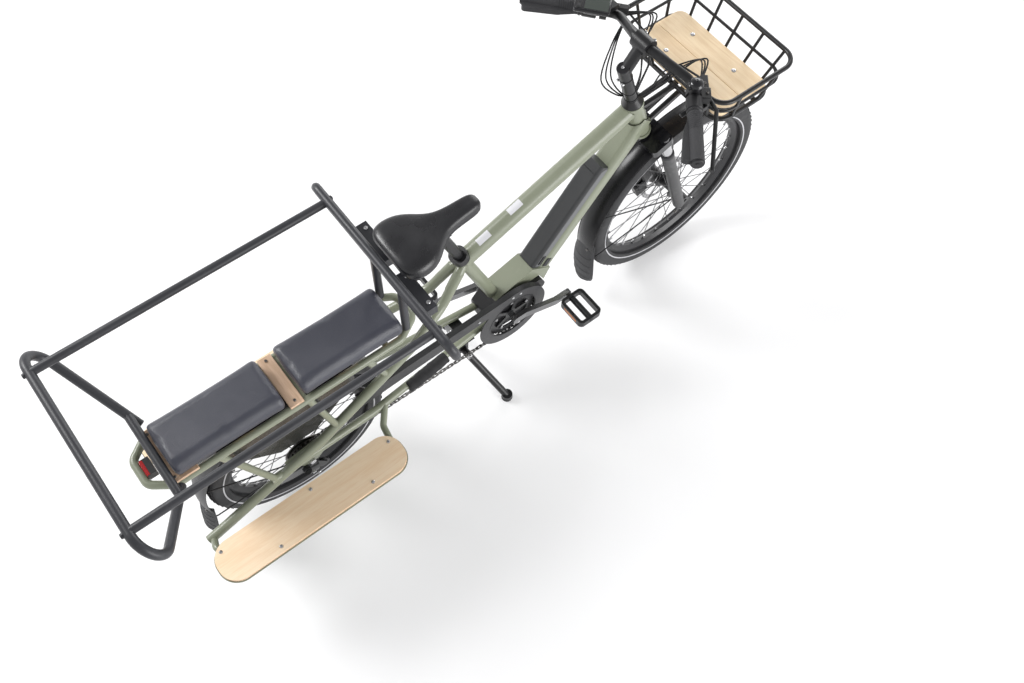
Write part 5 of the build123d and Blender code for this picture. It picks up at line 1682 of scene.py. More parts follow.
@dataclass
class Drivetrain:
    """The chain's links, the bolts of the ring and guard and the teeth of the sprockets."""

    side: float = -0.050
    ring_radius: float = 0.0883
    cog_radius: float = 0.0443
    pitch: float = 0.0127
    arm: float = 0.168

    def build(self) -> None:
        """Builds the parts of the drivetrain."""
        self.links()
        self.ring_bolts()
        self.sprocket_teeth()
        self.axle_caps()
        self.cover_trim()

    def path(self) -> list[Vector]:
        """Returns the chain's closed middle line.

        Returns:
            The points, round the crank and the rear sprocket.
        """
        span = CRANK_AXLE - REAR_AXLE
        slope = math.atan2(span.z, span.x)
        spread = math.acos((self.ring_radius - self.cog_radius) / math.hypot(span.x, span.z))
        points = []
        arcs = ((CRANK_AXLE, self.ring_radius, slope + spread, slope - spread, 26),
                (REAR_AXLE, self.cog_radius, slope - spread, slope + spread - math.tau, 18))
        for centre, radius, first, last, steps in arcs:
            for step in range(steps + 1):
                turn = first + (last - first) * step / steps
                points.append(vec(centre.x + radius * math.cos(turn), self.side,
                                      centre.z + radius * math.sin(turn)))
        return points

    def links(self) -> None:
        """Builds the outer and inner links and lets them stand for the chain."""
        points = self.path()
        length = sum((after - before).length for before, after in zip(points, points[1:] + points[:1]))
        pairs = round(length / self.pitch / 2)
        step = length / pairs / 2
        for name, gap, thickness, height, pin_half, pin_radius, sides in (
                ("outer_links", 0.0027, 0.0009, 0.0080, 0.0042, 0.0016, 6),
                ("inner_links", 0.0017, 0.0008, 0.0072, 0.0017, 0.0036, 8)):
            link = Shape()
            for side in BOTH_SIDES:
                outline = []
                for end in BOTH_SIDES:
                    for turn_step in range(5):
                        turn = -math.pi / 2 + math.pi * turn_step / 4 + (0.0 if end > 0 else math.pi)
                        outline.append(vec(end * step / 2 + math.cos(turn) * height / 2, side * gap,
                                               math.sin(turn) * height / 2))
                link.prism(outline[5:] + outline[:5], ACROSS * side * thickness)
                pin = vec(side * step / 2, 0.0, 0.0)
                link.disc(pin - ACROSS * pin_half, pin + ACROSS * pin_half, pin_radius, sides)
            made = grow_copies(name, ALONG, link, lines_mesh([points], closed=True), "frame", "bright_metal",
                               Palette.dark_steel, Count=pairs)
            if name == "outer_links":
                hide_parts("chain")
            # The inner links start one step earlier, so that they lie between the outer ones.
            points.insert(0, points[0] - (points[0] - points[-1]).normalized() * step)

    def ring_bolts(self) -> None:
        """Builds the bolts between the ring and its spider."""
        face = vec(CRANK_AXLE.x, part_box("chainring")[0].y, CRANK_AXLE.z)
        spots = [(place, -ACROSS) for place in bolt_circle(face, 5, 0.055, math.pi / 10)]
        put_screws("ring_bolts", spots, 0.0045, "crank", "bright_metal", Palette.steel, Head.SOCKET)

    def sprocket_teeth(self) -> None:
        """Builds the teeth of the sprocket that carries the chain."""
        tooth = Shape()
        corners = ((-0.003, -0.0030), (0.0035, -0.0012), (0.0035, 0.0012), (-0.003, 0.0030))
        tooth.prism([vec(x, -0.0011, z) for x, z in corners], ACROSS * 0.0022)
        ring_copies("sprocket_teeth", tooth, 22, vec(REAR_AXLE.x, self.side, REAR_AXLE.z), 0.0405,
                    "rear_wheel_set", "bright_metal", Palette.dark_steel)

    def axle_caps(self) -> None:
        """Builds the caps on the crank arms' hubs."""
        caps = Shape()
        end_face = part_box("crank_arms")[1].y - 0.0005
        for side in BOTH_SIDES:
            centre = CRANK_AXLE + ACROSS * side * 0.0745
            caps.disc(centre, centre + ACROSS * side * 0.0035, 0.0115, 24, 0.001)
        caps.finish("crank_caps", Palette.black_plastic, "crank", "black_plastic")
        spots = [(vec(CRANK_AXLE.x - side * self.arm, side * end_face, CRANK_AXLE.z), ACROSS * side)
                 for side in BOTH_SIDES]
        put_screws("pedal_spindle_ends", spots, 0.0070, "crank", "bright_metal", Palette.dark_steel,
                   Head.SOCKET)

    def cover_trim(self) -> None:
        """Builds the bolts and the raised edge of the chain guard."""
        face = vec(CRANK_AXLE.x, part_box("chain_cover")[0].y, CRANK_AXLE.z)
        spots = [(face + vec(ahead, 0.0, rise), -ACROSS)
                 for ahead, rise in ((0.022, 0.098), (-0.004, 0.100), (-0.118, 0.086))]
        put_screws("guard_bolts", spots, 0.0044, "frame", "bright_metal", Palette.steel)
        edge = Shape()
        ring = [(-0.0006, 0.0815), (-0.0006, 0.0795), (0.0006, 0.0795), (0.0006, 0.0815)]
        edge.lathe(face, ACROSS, ring, 72, looped=True)
        edge.finish("guard_edge", Palette.black_plastic, "frame", "grey_plastic")


@dataclass
class Sleeve:
    """The soft sleeve on the right lower stay, fitted loosely and wrinkled."""

    start: Vector = vec(-0.286, -0.064, 0.2745)
    end: Vector = vec(-0.152, -0.052, 0.2790)
    radius: float = 0.0160

    def build(self) -> None:
        """Builds the sleeve as a slightly wrinkled tube."""
        axis = self.end - self.start
        along = axis.normalized()
        across = along.orthogonal().normalized()
        other = along.cross(across)
        steps, sides = 40, 28
        rings = []
        for step in range(steps + 1):
            share = step / steps
            swell = 0.0012 * math.sin(math.pi * share) - (0.0015 if step in (0, steps) else 0.0)
            rings.append([])
            for turn in (math.tau * side / sides for side in range(sides)):
                fold = 0.0006 * math.sin(share * 23 + turn) + 0.0003 * math.sin(share * 51 - 2 * turn)
                outward = across * math.cos(turn) + other * math.sin(turn)
                rings[-1].append(self.start + axis * share + outward * (self.radius + fold + swell))
        sleeve = Shape()
        sleeve.skin(rings)
        sleeve.finish("stay_sleeve", Palette.neoprene, "frame", "grip_rubber", sharp=60.0)


@dataclass
class PedalTrim:
    """The reflectors, teeth and bearing caps of one pedal."""

    node: str
    body: str

    def build(self) -> None:
        """Builds the small parts of the pedal."""
        low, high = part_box(self.node)
        centre = (low + high) / 2
        outer = 1.0 if centre.y > 0 else -1.0
        middle_y = centre.y + outer * 0.010
        lens = Shape()
        for end in BOTH_SIDES:
            x = centre.x + end * ((high.x - low.x) / 2 - 0.0008)
            lens.block(vec(x, middle_y, centre.z), vec(0.0030, 0.052, 0.0105))
        lens.finish(self.node + "_reflectors", Palette.amber, self.body, "red_lens", bevel=0.0006)
        cap = Shape()
        tip = vec(centre.x, high.y if outer > 0 else low.y, centre.z)
        cap.disc(tip - ACROSS * outer * 0.003, tip + ACROSS * outer * 0.0012, 0.0078, 16, 0.0008)
        cap.finish(self.node + "_cap", Palette.black_plastic, self.body, "black_plastic")
        spots = []
        for end in BOTH_SIDES:
            for step in range(7):
                y = middle_y + (step - 3) * 0.0115
                x = centre.x + end * ((high.x - low.x) / 2 - 0.0050)
                spots.append((vec(x, y, high.z), UPWARD))
                spots.append((vec(x, y, low.z), -UPWARD))
        tooth = Shape()
        tooth.lathe(vec(0, 0, -0.001), UPWARD, [(0.0, 0.0022), (0.0022, 0.0018), (0.0030, 0.0008)], 6)
        grow_copies(self.node + "_teeth", SPOTS, tooth, spots_mesh(spots), self.body, "black_plastic",
                    Palette.black_plastic)


@dataclass
class Cockpit:
    """Everything on the handlebar: grips, levers, screen, buttons, bell and hoses."""

    knee: Vector
    end: Vector
    clamp: Vector

    def bar_point(self, share: float, side: float, ahead: float = 0.0, rise: float = 0.0) -> Vector:
        """Returns a point beside the grip part of the bar.

        Args:
            share: The share of the way from the knee to the bar's end.
            side: The side of the bike.
            ahead: The distance ahead of the bar.
            rise: The distance above the bar.

        Returns:
            The point.
        """
        knee = vec(self.knee.x, self.knee.y * side, self.knee.z)
        end = vec(self.end.x, self.end.y * side, self.end.z)
        along = (end - knee).normalized()
        forward = vec(abs(along.y), -along.x * math.copysign(1.0, along.y), 0.0).normalized()
        return knee + (end - knee) * share + forward * ahead + UPWARD * rise

    def build(self) -> None:
        """Builds the parts of the cockpit."""
        self.grips()
        self.levers()
        self.display()
        self.bell()
        self.hoses()
        self.stem()

    def grips(self) -> None:
        """Builds the grips' end plugs, twist rings and ribs."""
        plugs, ribs = Shape(), Shape()
        for side in BOTH_SIDES:
            along = (self.bar_point(1.0, side) - self.bar_point(0.0, side)).normalized()
            tip = self.bar_point(1.0, side)
            plugs.disc(tip - along * 0.006, tip + along * 0.0045, 0.0150, 28, 0.0015)
            plugs.disc(tip + along * 0.004, tip + along * 0.0058, 0.0048, 6)
            for first, last, radius in ((0.225, 0.375, 0.0188), (0.385, 0.415, 0.0180)):
                plugs.disc(self.bar_point(first, side), self.bar_point(last, side), radius, 32, 0.0015)
            for index in range(9):
                place = self.bar_point(0.44, side) + along * 0.0052 * index
                section = [(-0.0012, 0.0158), (-0.0004, 0.0172), (0.0004, 0.0172), (0.0012, 0.0158)]
                ribs.lathe(place, along, section, 28)
        plugs.finish("grip_ends", Palette.black_plastic, "steering", "black_plastic")
        ribs.finish("grip_ribs", Palette.rubber, "steering", "grip_rubber")

    def levers(self) -> None:
        """Builds the lever housings, their pivots and the shifter."""
        housing = Shape()
        spots = []
        for side in BOTH_SIDES:
            along = (self.bar_point(1.0, side) - self.bar_point(0.0, side)).normalized()
            ahead = (self.bar_point(0.2, side, 0.01) - self.bar_point(0.2, side)).normalized()
            root = self.bar_point(0.155, side, 0.024, -0.004)
            housing.block(root, vec(0.034, 0.030, 0.020), along, ahead)
            housing.block(self.bar_point(0.02, side, 0.026, -0.006), vec(0.052, 0.018, 0.017), along,
                          ahead)
            spots.append((self.bar_point(0.155, side, 0.030, 0.006), UPWARD))
            spots.append((self.bar_point(0.02, side, 0.026, 0.0025), UPWARD))
        shifter = self.bar_point(0.215, -1.0, 0.012, -0.026)
        housing.block(shifter, vec(0.036, 0.034, 0.016))
        housing.block(shifter + vec(-0.030, 0.004, -0.004), vec(0.032, 0.012, 0.005))
        housing.finish("lever_housings", Palette.black_plastic, "steering", "black_plastic", bevel=0.003)
        put_screws("lever_screws", spots, 0.0036, "steering", "bright_metal", Palette.dark_steel, Head.SOCKET)

    def display(self) -> None:
        """Builds the bare screen and the button pad beside the left grip."""
        centre = self.bar_point(0.27, 1.0, -0.016)
        centre.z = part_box("bar_controls")[1].z - 0.002
        along = (self.bar_point(1.0, 1.0) - self.bar_point(0.0, 1.0)).normalized()
        ahead = vec(along.y, -along.x, 0.0)
        rim = Shape()
        rim.block(centre, vec(0.086, 0.058, 0.010), along, ahead)
        rim.block(centre - UPWARD * 0.010, vec(0.040, 0.036, 0.016), along, ahead)
        rim.finish("display_rim", Palette.gloss_black, "steering", "black_plastic", bevel=0.004)
        glass = Shape()
        glass.block(centre - along * 0.010 + UPWARD * 0.0050, vec(0.056, 0.044, 0.0012), along, ahead)
        glass.finish("display_screen", Palette.screen, "steering", "black_plastic", bevel=0.0004)
        pad = Shape()
        place = centre + along * 0.031
        pad.block(place, vec(0.016, 0.050, 0.0125), along, ahead)
        pad.finish("button_pad", Palette.black_plastic, "steering", "black_plastic", bevel=0.003)
        spots = [(place + ahead * shift + UPWARD * 0.0062, UPWARD) for shift in (-0.015, 0.0, 0.015)]
        put_screws("buttons", spots, 0.0042, "steering", "grip_rubber", Palette.rubber, Head.FLAT)

    def bell(self) -> None:
        """Builds the dome of the bell and its striker."""
        place = self.bar_point(0.155, -1.0, 0.0, 0.031)
        bell = Shape()
        bell.dome(place, UPWARD, 0.0172, 0.011, 28)
        bell.disc(place - UPWARD * 0.002, place + UPWARD * 0.0006, 0.0176, 28, 0.0006)
        bell.disc(place + UPWARD * 0.010, place + UPWARD * 0.0128, 0.0032, 10, 0.0006)
        bell.block(place + vec(-0.018, 0.0, -0.001), vec(0.016, 0.007, 0.004))
        bell.finish("bell_dome", Palette.gloss_black, "steering", "black_metal")

    def hoses(self) -> None:
        """Builds the thin cables that bow from the controls to the head tube."""
        paths = []
        for side in BOTH_SIDES:
            for shift, rise, bow in ((0.0, -0.014, 0.050), (0.012, -0.020, 0.064), (0.022, -0.008, 0.040)):
                start = self.bar_point(-0.05, side, 0.020, rise)
                corners = [
                    start,
                    start + vec(bow, -side * 0.045, 0.004),
                    vec(self.clamp.x + 0.052 + shift, side * (0.040 + shift), 0.955),
                    vec(self.clamp.x + 0.040 + shift * 0.5, side * (0.020 + shift * 0.5), 0.890),
                    vec(self.clamp.x + 0.010, side * 0.006, 0.860),
                ]
                paths.append(eased(corners))
        for reach in (0.0, 0.010, 0.020):
            corners = [
                self.bar_point(-0.08, 1.0, 0.010, -0.016),
                vec(0.455 - reach * 0.4, 0.080 + reach * 0.3, 0.970),
                vec(0.422 - reach, 0.050 + reach * 0.5, 0.915 - reach * 0.6),
                vec(0.446 - reach * 0.4, 0.030 + reach * 0.3, 0.858 - reach * 0.4),
                vec(0.478, 0.020, 0.836),
            ]
            paths.append(eased(corners))
        grow("control_cables", BARS, lines_mesh(paths), "steering", "black_plastic", Palette.black_plastic,
             Radius=0.0020, Sides=8)

    def stem(self) -> None:
        """Builds the stem's cap, rings and bolts."""
        rings = Shape()
        for along, radius, width in ((0.609, 0.0176, 0.0030), (0.640, 0.0173, 0.0022),
                                     (0.700, 0.0173, 0.0022)):
            rings.disc(steer_point(along, 0, 0), steer_point(along + width, 0, 0), radius, 32, 0.0006)
        rings.finish("column_rings", Palette.gloss_black, "steering", "black_metal")
        cap = Shape()
        top = steer_point(0.7415, 0.0, 0.0)
        cap.disc(top - STEER_UP * 0.001, top + STEER_UP * 0.004, 0.0160, 32, 0.0012)
        cap.finish("stem_cap", Palette.gloss_black, "steering", "black_metal")
        spots = [(top + STEER_UP * 0.004, STEER_UP)]
        for side in BOTH_SIDES:
            for rise in BOTH_SIDES:
                spots.append((self.clamp + vec(0.0192, side * 0.015, rise * 0.0085), FORWARD))
            spots.append((steer_point(0.70, -0.0160, side * 0.001) + ACROSS * side * 0.008, -STEER_AHEAD))
        put_screws("stem_bolts", spots, 0.0040, "steering", "bright_metal", Palette.steel, Head.SOCKET)


@dataclass
class ForkTrim:
    """The bright upper legs, their seals, the violet cap and the brake caliper of the fork."""

    leg_side: float = 0.058
    leg_ahead: float = 0.028

    def leg_point(self, along: float, side: float) -> Vector:
        """Returns a point on the middle line of a leg.

        Args:
            along: Distance up the steering axis.
            side: The side of the bike.

        Returns:
            The point.
        """
        return steer_point(along, self.leg_ahead, side * self.leg_side)

    def build(self) -> None:
        """Builds the trim of the fork."""
        bright, seals, caps = Shape(), Shape(), Shape()
        for side in BOTH_SIDES:
            bright.disc(self.leg_point(0.3305, side), self.leg_point(0.3945, side), 0.0153, 32)
            seals.disc(self.leg_point(0.322, side), self.leg_point(0.3365, side), 0.0192, 32, 0.002)
            place = self.leg_point(0.4215, side)
            caps.disc(place - STEER_UP * 0.002, place + STEER_UP * 0.0075, 0.0125, 28, 0.0015)
            caps.block(place + STEER_UP * 0.009, vec(0.004, 0.017, 0.005), STEER_AHEAD, ACROSS)
        bright.finish("fork_stanchions", Palette.steel, "steering", "bright_metal")
        seals.finish("fork_seals", Palette.rubber, "steering", "black_plastic")
        caps.finish("fork_caps", Palette.violet_cap, "steering", "black_metal")
        self.caliper()
        self.mudguard_bolts()
        tab = Shape()
        tab.block(steer_point(0.362, 0.0, 0.0), vec(0.004, 0.030, 0.066), STEER_AHEAD, ACROSS)
        tab.finish("mudguard_tab", Palette.black_metal, "steering", "black_metal", bevel=0.001)

    def caliper(self) -> None:
        """Builds the brake caliper behind the left leg."""
        caliper = Shape()
        centre = steer_point(0.058, -0.030, 0.0)
        for inner, outer in ((0.0355, 0.0475), (0.0235, 0.0290)):
            middle = vec(centre.x, (inner + outer) / 2, centre.z)
            caliper.block(middle, vec(0.030, outer - inner, 0.052), STEER_AHEAD, ACROSS)
        bridge = steer_point(0.058, -0.050, 0.0)
        caliper.block(vec(bridge.x, 0.0355, bridge.z), vec(0.010, 0.024, 0.050), STEER_AHEAD, ACROSS)
        caliper.finish("front_caliper", Palette.black_metal, "steering", "black_metal", bevel=0.002)

    def mudguard_bolts(self) -> None:
        """Builds the bolts that hold the mudguard's stays and tab."""
        spots = [(STEER_ROOT + ACROSS * side * 0.0765, ACROSS * side) for side in BOTH_SIDES]
        put_screws("fork_foot_bolts", spots, 0.0055, "steering", "bright_metal", Palette.dark_steel,
                   Head.SOCKET)


@dataclass
class Basket:
    """The planks, the thin wire and the bolts of the front basket."""

    seam: float = 0.0009
    corner: float = 0.024
    wire: tuple[float, float, float, float] = (0.5764, 0.79216, 0.17632, 0.87844)
    wire_bend: float = 0.050

    def build(self) -> None:
        """Builds the planks and the trim of the basket."""
        low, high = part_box("basket_floor")
        self.planks(low, high)
        bolts_x, bolts_y = (low.x + 0.041, high.x - 0.041), (low.y + 0.085, high.y - 0.085)
        spots = [(vec(x, y, high.z), UPWARD) for x in bolts_x for y in bolts_y]
        put_screws("plank_bolts", spots, 0.0062, "frame", "bright_metal", Palette.steel, Head.FLAT)
        behind, ahead, half, z = self.wire
        corners = [vec(behind, -half, z), vec(ahead, -half, z), vec(ahead, half, z), vec(behind, half, z)]
        wire = rounded(corners, self.wire_bend, closed=True)
        grow("basket_wires", BARS, lines_mesh([wire], closed=True), "frame", "black_metal",
             Palette.black_metal, Radius=0.0021, Sides=8)

    def planks(self, low: Vector, high: Vector) -> None:
        """Builds the two floor planks, rounded at the outer corners.

        Args:
            low: The low corner of the planks' box.
            high: The high corner of the planks' box.
        """
        planks = Shape()
        width = (high.x - low.x) / 2 - self.seam
        turns = [math.pi / 2 * step / 4 for step in range(5)]
        for inner, outer in ((low.x + width, low.x), (high.x - width, high.x)):
            inward = math.copysign(self.corner, inner - outer)
            outline = [vec(inner, low.y, low.z), vec(inner, high.y, low.z)]
            for y, reach, order in ((high.y - self.corner, self.corner, turns),
                                    (low.y + self.corner, -self.corner, turns[::-1])):
                outline += [vec(outer + inward * (1 - math.sin(turn)), y + reach * math.cos(turn), low.z)
                            for turn in order]
            planks.prism(outline, UPWARD * (high.z - low.z))
        made = planks.finish("basket_planks", Palette.plank_wood, "frame", "wood", bevel=0.0012)
        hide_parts("basket_floor")


@dataclass
class TailLight:
    """The red lens and its ribs on the black light below the rack's end."""

    def build(self) -> None:
        """Builds the light's lens round its node."""
        low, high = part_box("tail_light")
        centre = (low + high) / 2
        size = high - low
        lens = Shape()
        wide = size.y * 0.94
        lens.block(vec(low.x + 0.0010, centre.y, centre.z), vec(0.0050, wide, size.z * 0.78))
        lens.block(vec(low.x + 0.0035, centre.y, high.z + 0.0001), vec(0.0070, wide, 0.0012))
        lens.finish("tail_lens", Palette.red_lens, "frame", "red_lens", bevel=0.0005)
        ribs = Shape()
        for step in range(-4, 5):
            ribs.block(vec(low.x - 0.0018, centre.y + step * 0.0042, centre.z),
                       vec(0.0012, 0.0012, size.z * 0.7))
        ribs.finish("tail_lens_ribs", Palette.red_lens, "frame", "red_lens")


@dataclass
class Mudguard:
    """One domed mudguard with rolled edges, a rubber flap and wire stays."""

    node: str
    body: str
    axle: Vector
    radius: float
    first: float
    last: float
    flap: tuple[tuple[float, float, float], ...]
    stay_turn: float
    stay_foot: Vector
    material: bpy.types.Material
    half_width: float = 0.033
    drop: float = 0.009
    thickness: float = 0.0016
    flap_depth: float = 0.017
    flap_half: float = 0.0012
    stay_gap: float = 34.0
    shares: tuple[float, ...] = (-1.0, -0.94, -0.8, -0.6, -0.35, -0.1, 0.1, 0.35, 0.6, 0.8, 0.94, 1.0)

    def __post_init__(self) -> None:
        """Finds the turns of the guard's sections, three degrees apart."""
        steps = round((self.last - self.first) / 3.0)
        self.turns = [self.first + (self.last - self.first) * step / steps for step in range(steps + 1)]

    def around(self, turn: float, radius: float, side: float) -> Vector:
        """Returns a point round the axle.

        Args:
            turn: The turn from straight ahead, in degrees.
            radius: The distance from the axle.
            side: The distance to the left.

        Returns:
            The point.
        """
        angle = math.radians(turn)
        return self.axle + vec(math.cos(angle) * radius, side, math.sin(angle) * radius)

    def build(self) -> None:
        """Builds the guard, its flap and its stays."""
        shape = Shape()
        skins = [(0.0, 1.0, share) for share in self.shares]
        skins += [(self.thickness, 0.985, share) for share in reversed(self.shares)]
        shape.skin([[self.around(turn, self.radius - self.drop * abs(share) ** 2.4 - inward,
                                 self.half_width * share * narrow) for inward, narrow, share in skins]
                    for turn in self.turns])
        guard = shape.finish(self.node + "_dome", self.material, self.body, "black_plastic", sharp=50.0)
        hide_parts(self.node)
        self.edges()
        self.hanging_flap()
        self.stays()

    def edges(self) -> None:
        """Builds the rolled edges of the guard."""
        reach = self.radius - self.drop - 0.0006
        paths = [[self.around(turn, reach, side * self.half_width) for turn in self.turns]
                 for side in BOTH_SIDES]
        grow(self.node + "_edges", BARS, lines_mesh(paths), self.body, "black_plastic", self.material,
             Radius=0.0019, Sides=8)

    def flap_bow(self, share: float) -> float:
        """Returns how far the flap curves towards the wheel at a share of its half width.

        Args:
            share: The place across the flap, from -1 to 1.

        Returns:
            The distance, in metres.
        """
        return self.flap_depth * abs(share) ** 2.2

    def hanging_flap(self) -> None:
        """Builds the rubber flap with its raised lines and its two rivets."""
        flap, lines = Shape(), Shape()
        half_thick = self.flap_half
        shares = [step / 6 for step in range(-6, 7)]
        faces = ((-half_thick, shares), (half_thick, shares[::-1]))
        flap.skin([[vec(x + self.flap_bow(share) + shift, half * share, z)
                    for shift, row in faces for share in row] for x, z, half in self.flap])
        flap.finish(self.node + "_flap", Palette.flap_rubber, self.body, "black_plastic", bevel=0.0008)
        for x, z, half in self.flap[2:-1]:
            lines.tube([vec(x + self.flap_bow(share) - half_thick, half * share, z)
                        for share in shares[1:-1]], 0.0011, 6)
        lines.finish(self.node + "_flap_lines", Palette.flap_rubber, self.body, "black_plastic", bevel=0.0006)
        x, z, _ = self.flap[1]
        spots = [(vec(x + self.flap_bow(0.5) - half_thick, side * 0.018, z), -FORWARD) for side in BOTH_SIDES]
        put_screws(self.node + "_rivets", spots, 0.0040, self.body, "bright_metal", Palette.dark_steel)

    def stays(self) -> None:
        """Builds the wire stays that run from the axle's ends round the guard."""
        outer = self.radius + 0.0016
        low = self.radius - self.drop - 0.004
        wide = self.half_width + 0.0030
        left = self.stay_foot
        right = vec(left.x, -left.y, left.z)
        bend = outer - 0.004
        corners = ((low, -1.0), (bend, -0.92), (outer, -0.6), (outer, 0.6), (bend, 0.92), (low, 1.0))
        hoop = [self.around(self.stay_turn, radius, wide * share) for radius, share in corners]
        ends = [self.around(self.stay_turn - self.stay_gap, low, side * wide) for side in BOTH_SIDES]
        paths = [[right, *hoop, left], [right, ends[0]], [left, ends[1]]]
        grow(self.node + "_stays", BARS, lines_mesh(paths), self.body, "black_metal", Palette.black_metal,
             Radius=0.0020, Sides=8)


@dataclass
class StandTrim:
    """The rubber feet and the pivot bolts of the centre stand."""

    def build(self) -> None:
        """Builds the stand's trim."""
        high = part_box("centre_stand")[1]
        place = Vector(joint_of("stand_fold")["pos_m"])
        feet = Shape()
        for side in BOTH_SIDES:
            foot = vec(high.x - 0.016, side * (high.y - 0.016), 0.0)
            feet.disc(foot + UPWARD * 0.0005, foot + UPWARD * 0.015, 0.0168, 24, 0.003)
        feet.finish("stand_feet", Palette.rubber, "stand", "black_metal")
        spots = [(place + ACROSS * side * 0.0462, ACROSS * side) for side in BOTH_SIDES]
        put_screws("stand_pivots", spots, 0.0075, "frame", "bright_metal", Palette.steel, Head.SOCKET)


@dataclass
class MotorTrim:
    """The cover plates and screws on the plain motor block."""

    def build(self) -> None:
        """Builds a round cover on the left face, with its screws."""
        centre = vec(CRANK_AXLE.x + 0.040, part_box("motor")[1].y, CRANK_AXLE.z + 0.004)
        cover = Shape()
        cover.disc(centre - ACROSS * 0.001, centre + ACROSS * 0.003, 0.052, 48, 0.0015)
        cover.disc(centre + ACROSS * 0.002, centre + ACROSS * 0.0045, 0.030, 40, 0.001)
        cover.finish("motor_cover", Palette.grey_plastic, "frame", "black_plastic")
        spots = [(place, ACROSS) for place in bolt_circle(centre + ACROSS * 0.003, 6, 0.046, 0.3)]
        put_screws("motor_screws", spots, 0.0034, "frame", "bright_metal", Palette.dark_steel, Head.SOCKET)


@dataclass
class RearTrim:
    """The derailleur's bolts and the screws of the skirts."""

    def build(self) -> None:
        """Builds the small parts round the rear wheel."""
        self.skirt_screws()
        self.derailleur()

    def skirt_screws(self) -> None:
        """Builds the screws of the smoked skirts."""
        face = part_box("wheel_skirts")[1].y
        spots = [(vec(x, side * face, z), ACROSS * side) for side in BOTH_SIDES
                 for x, z in ((-0.455, 0.548), (-0.600, 0.552), (-0.745, 0.548))]
        put_screws("skirt_screws", spots, 0.0048, "frame", "bright_metal", Palette.steel)

    def derailleur(self) -> None:
        """Builds the bolts on the derailleur's pivots."""
        low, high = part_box("derailleur")
        middle_x = (low.x + high.x) / 2
        spots = [(vec(REAR_AXLE.x - 0.010, low.y, REAR_AXLE.z - 0.028), -ACROSS),
                 (vec(middle_x, low.y + 0.030, low.z + 0.014), -ACROSS)]
        put_screws("derailleur_bolts", spots, 0.0050, "frame", "bright_metal", Palette.steel, Head.SOCKET)


@dataclass
class Studio:
    """The camera, the pale floor and the soft lamps."""

    camera_place: tuple[float, float, float] = (-0.8198, -1.0515, 2.6563)
    look: tuple[float, float, float] = (0.3129, 0.3456, -0.8847)
    upright: tuple[float, float, float] = (0.5312, 0.7085, 0.4647)
    lens: float = 34.28
    floor_half: float = 14.0
    floor_glow: float = 0.42
    overhead: float = 0.36
    horizon: float = 0.95

    def build(self) -> None:
        """Makes the camera, the floor, the world and the lamps."""
        self.camera()
        self.floor()
        self.world()
        self.lamp("key", (-2.4, 3.4, 3.6), 2.0, 225.0)
        self.lamp("fill", (1.6, -4.4, 1.5), 3.0, 170.0)
        self.lamp("back", (3.8, 2.2, 2.4), 2.6, 80.0)

    def camera(self) -> None:
        """Makes the camera with the photo's view."""
        data = bpy.data.cameras.new("camera")
        data.lens = self.lens
        data.sensor_width = 36.0
        data.sensor_fit = "HORIZONTAL"
        data.clip_end = 60.0
        camera = bpy.data.objects.new("camera", data)
        bpy.context.scene.collection.objects.link(camera)
        look = Vector(self.look).normalized()
        right = look.cross(Vector(self.upright)).normalized()
        upright = right.cross(look)
        turn = Matrix((right, upright, -look)).transposed().to_4x4()
        camera.matrix_world = Matrix.Translation(self.camera_place) @ turn
        bpy.context.scene.camera = camera

    def floor(self) -> None:
        """Makes the pale floor."""
        surface = Surface("pale_floor")
        tone = surface.group(TONE, Base=(0.68, 0.68, 0.685, 1.0), Second=(0.66, 0.66, 0.665, 1.0), Scale=0.6,
                             Rough=0.6, Swing=0.05)
        surface.shade(Base_Color=tone["Color"], Roughness=tone["Roughness"], Emission_Color=tone["Color"],
                      Emission_Strength=self.floor_glow)
        half = self.floor_half
        mesh = bpy.data.meshes.new("floor")
        corners = [(-half, -half, 0.0), (half, -half, 0.0), (half, half, 0.0), (-half, half, 0.0)]
        mesh.from_pydata(corners, [], [(0, 1, 2, 3)])
        mesh.materials.append(surface.material)
        floor = bpy.data.objects.new("floor", mesh)
        bpy.context.scene.collection.objects.link(floor)

    def world(self) -> None:
        """Makes white surroundings that are darker overhead."""
        world = bpy.data.worlds.new("studio")
        world.use_nodes = True
        graph = Graph(world.node_tree)
        way = graph.node("ShaderNodeTexCoord").outputs["Generated"]
        split = graph.node("ShaderNodeSeparateXYZ", {0: way})
        fall = graph.node("ShaderNodeMapRange",
                          {"Value": split.outputs["Z"], "To Min": self.horizon, "To Max": self.overhead})
        shader = world.node_tree.nodes["Background"]
        graph.feed(shader, "Color", (1.0, 1.0, 1.0, 1.0))
        graph.feed(shader, "Strength", fall.outputs["Result"])
        bpy.context.scene.world = world
        bpy.context.scene.view_settings.view_transform = "Standard"

    @staticmethod
    def lamp(name: str, place: tuple[float, float, float], size: float, power: float) -> None:
        """Makes one soft lamp that points at the bike.

        Args:
            name: The lamp's name.
            place: Where it hangs.
            size: The width of its square face.
            power: Its power in watts.
        """
        data = bpy.data.lights.new(name, "AREA")
        data.size = size
        data.energy = power
        lamp = bpy.data.objects.new(name, data)
        lamp.location = place
        aim = vec(0.0, 0.0, 0.5) - Vector(place)
        lamp.rotation_euler = aim.to_track_quat("-Z", "Y").to_euler()
        bpy.context.scene.collection.objects.link(lamp)


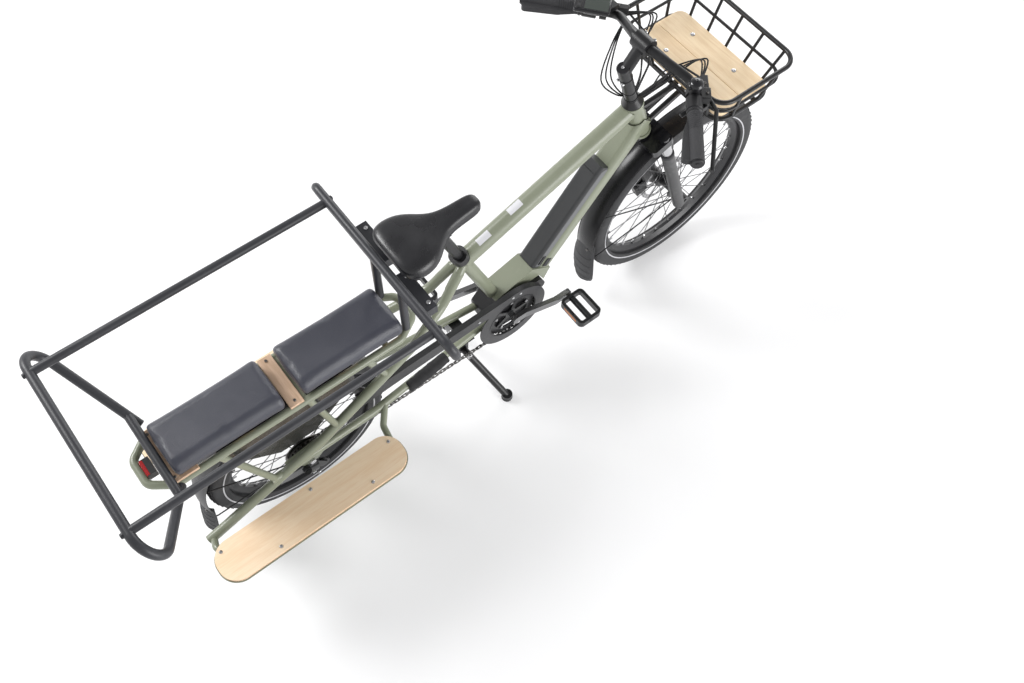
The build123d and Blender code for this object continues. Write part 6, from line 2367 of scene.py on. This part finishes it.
def main() -> None:
    """Builds every piece of the bike in turn."""
    logging.basicConfig(level=logging.INFO, format="%(message)s")
    Studio().build()
    dress_nodes()
    Tyre("front_tyre", "front_wheel_set", FRONT_AXLE, 0.262, 76).build()
    Tyre("rear_tyre", "rear_wheel_set", REAR_AXLE, 0.209, 63).build()
    WheelTrim("front_wheel", "front_wheel_set", FRONT_AXLE, 0.262, 0.066).build()
    WheelTrim("rear_wheel", "rear_wheel_set", REAR_AXLE, 0.209, 0.086).build()
    BrakeDisc("front_disc", "front_wheel_set", FRONT_AXLE).build()
    BrakeDisc("rear_disc", "rear_wheel_set", REAR_AXLE).build()
    SeatPad("seat_pad_front").build()
    SeatPad("seat_pad_rear").build()
    Saddle().build()
    Battery(vec(0.157, 0.0, 0.407)).build()
    TopTube(CRANK_AXLE + vec(-0.1267, 0.0, 0.3283), steer_point(0.560, 0.0, 0.0)).build()
    RackTrim().build()
    Drivetrain().build()
    Sleeve().build()
    PedalTrim("pedal_right", "right_pedal").build()
    PedalTrim("pedal_left", "left_pedal").build()
    Cockpit(knee=vec(0.500, 0.128, 1.000), end=vec(0.350, 0.303, 1.000),
            clamp=vec(0.455, 0.0, 1.040)).build()
    ForkTrim().build()
    Mudguard("front_mudguard", "steering", FRONT_AXLE, 0.334, 62.0, 187.0,
             ((0.378, 0.300, 0.033), (0.3755, 0.282, 0.036), (0.3745, 0.240, 0.041), (0.3765, 0.200, 0.044),
              (0.3795, 0.165, 0.045), (0.3835, 0.130, 0.043), (0.3870, 0.108, 0.036), (0.3885, 0.100, 0.027)),
             192.0, steer_point(0.046, 0.0075, 0.058), Palette.guard_plastic).build()
    Mudguard("rear_mudguard", "frame", REAR_AXLE, 0.286, 8.0, 189.0,
             ((-0.8835, 0.245, 0.033), (-0.8865, 0.228, 0.036), (-0.8905, 0.200, 0.041),
              (-0.8950, 0.175, 0.044), (-0.8990, 0.150, 0.045), (-0.9030, 0.125, 0.043),
              (-0.9060, 0.106, 0.036), (-0.9070, 0.098, 0.027)),
             193.0, REAR_AXLE + vec(-0.029, 0.063, 0.006), Palette.guard_grey).build()
    Basket().build()
    TailLight().build()
    StandTrim().build()
    MotorTrim().build()
    RearTrim().build()


if __name__ == "__main__":
    main()
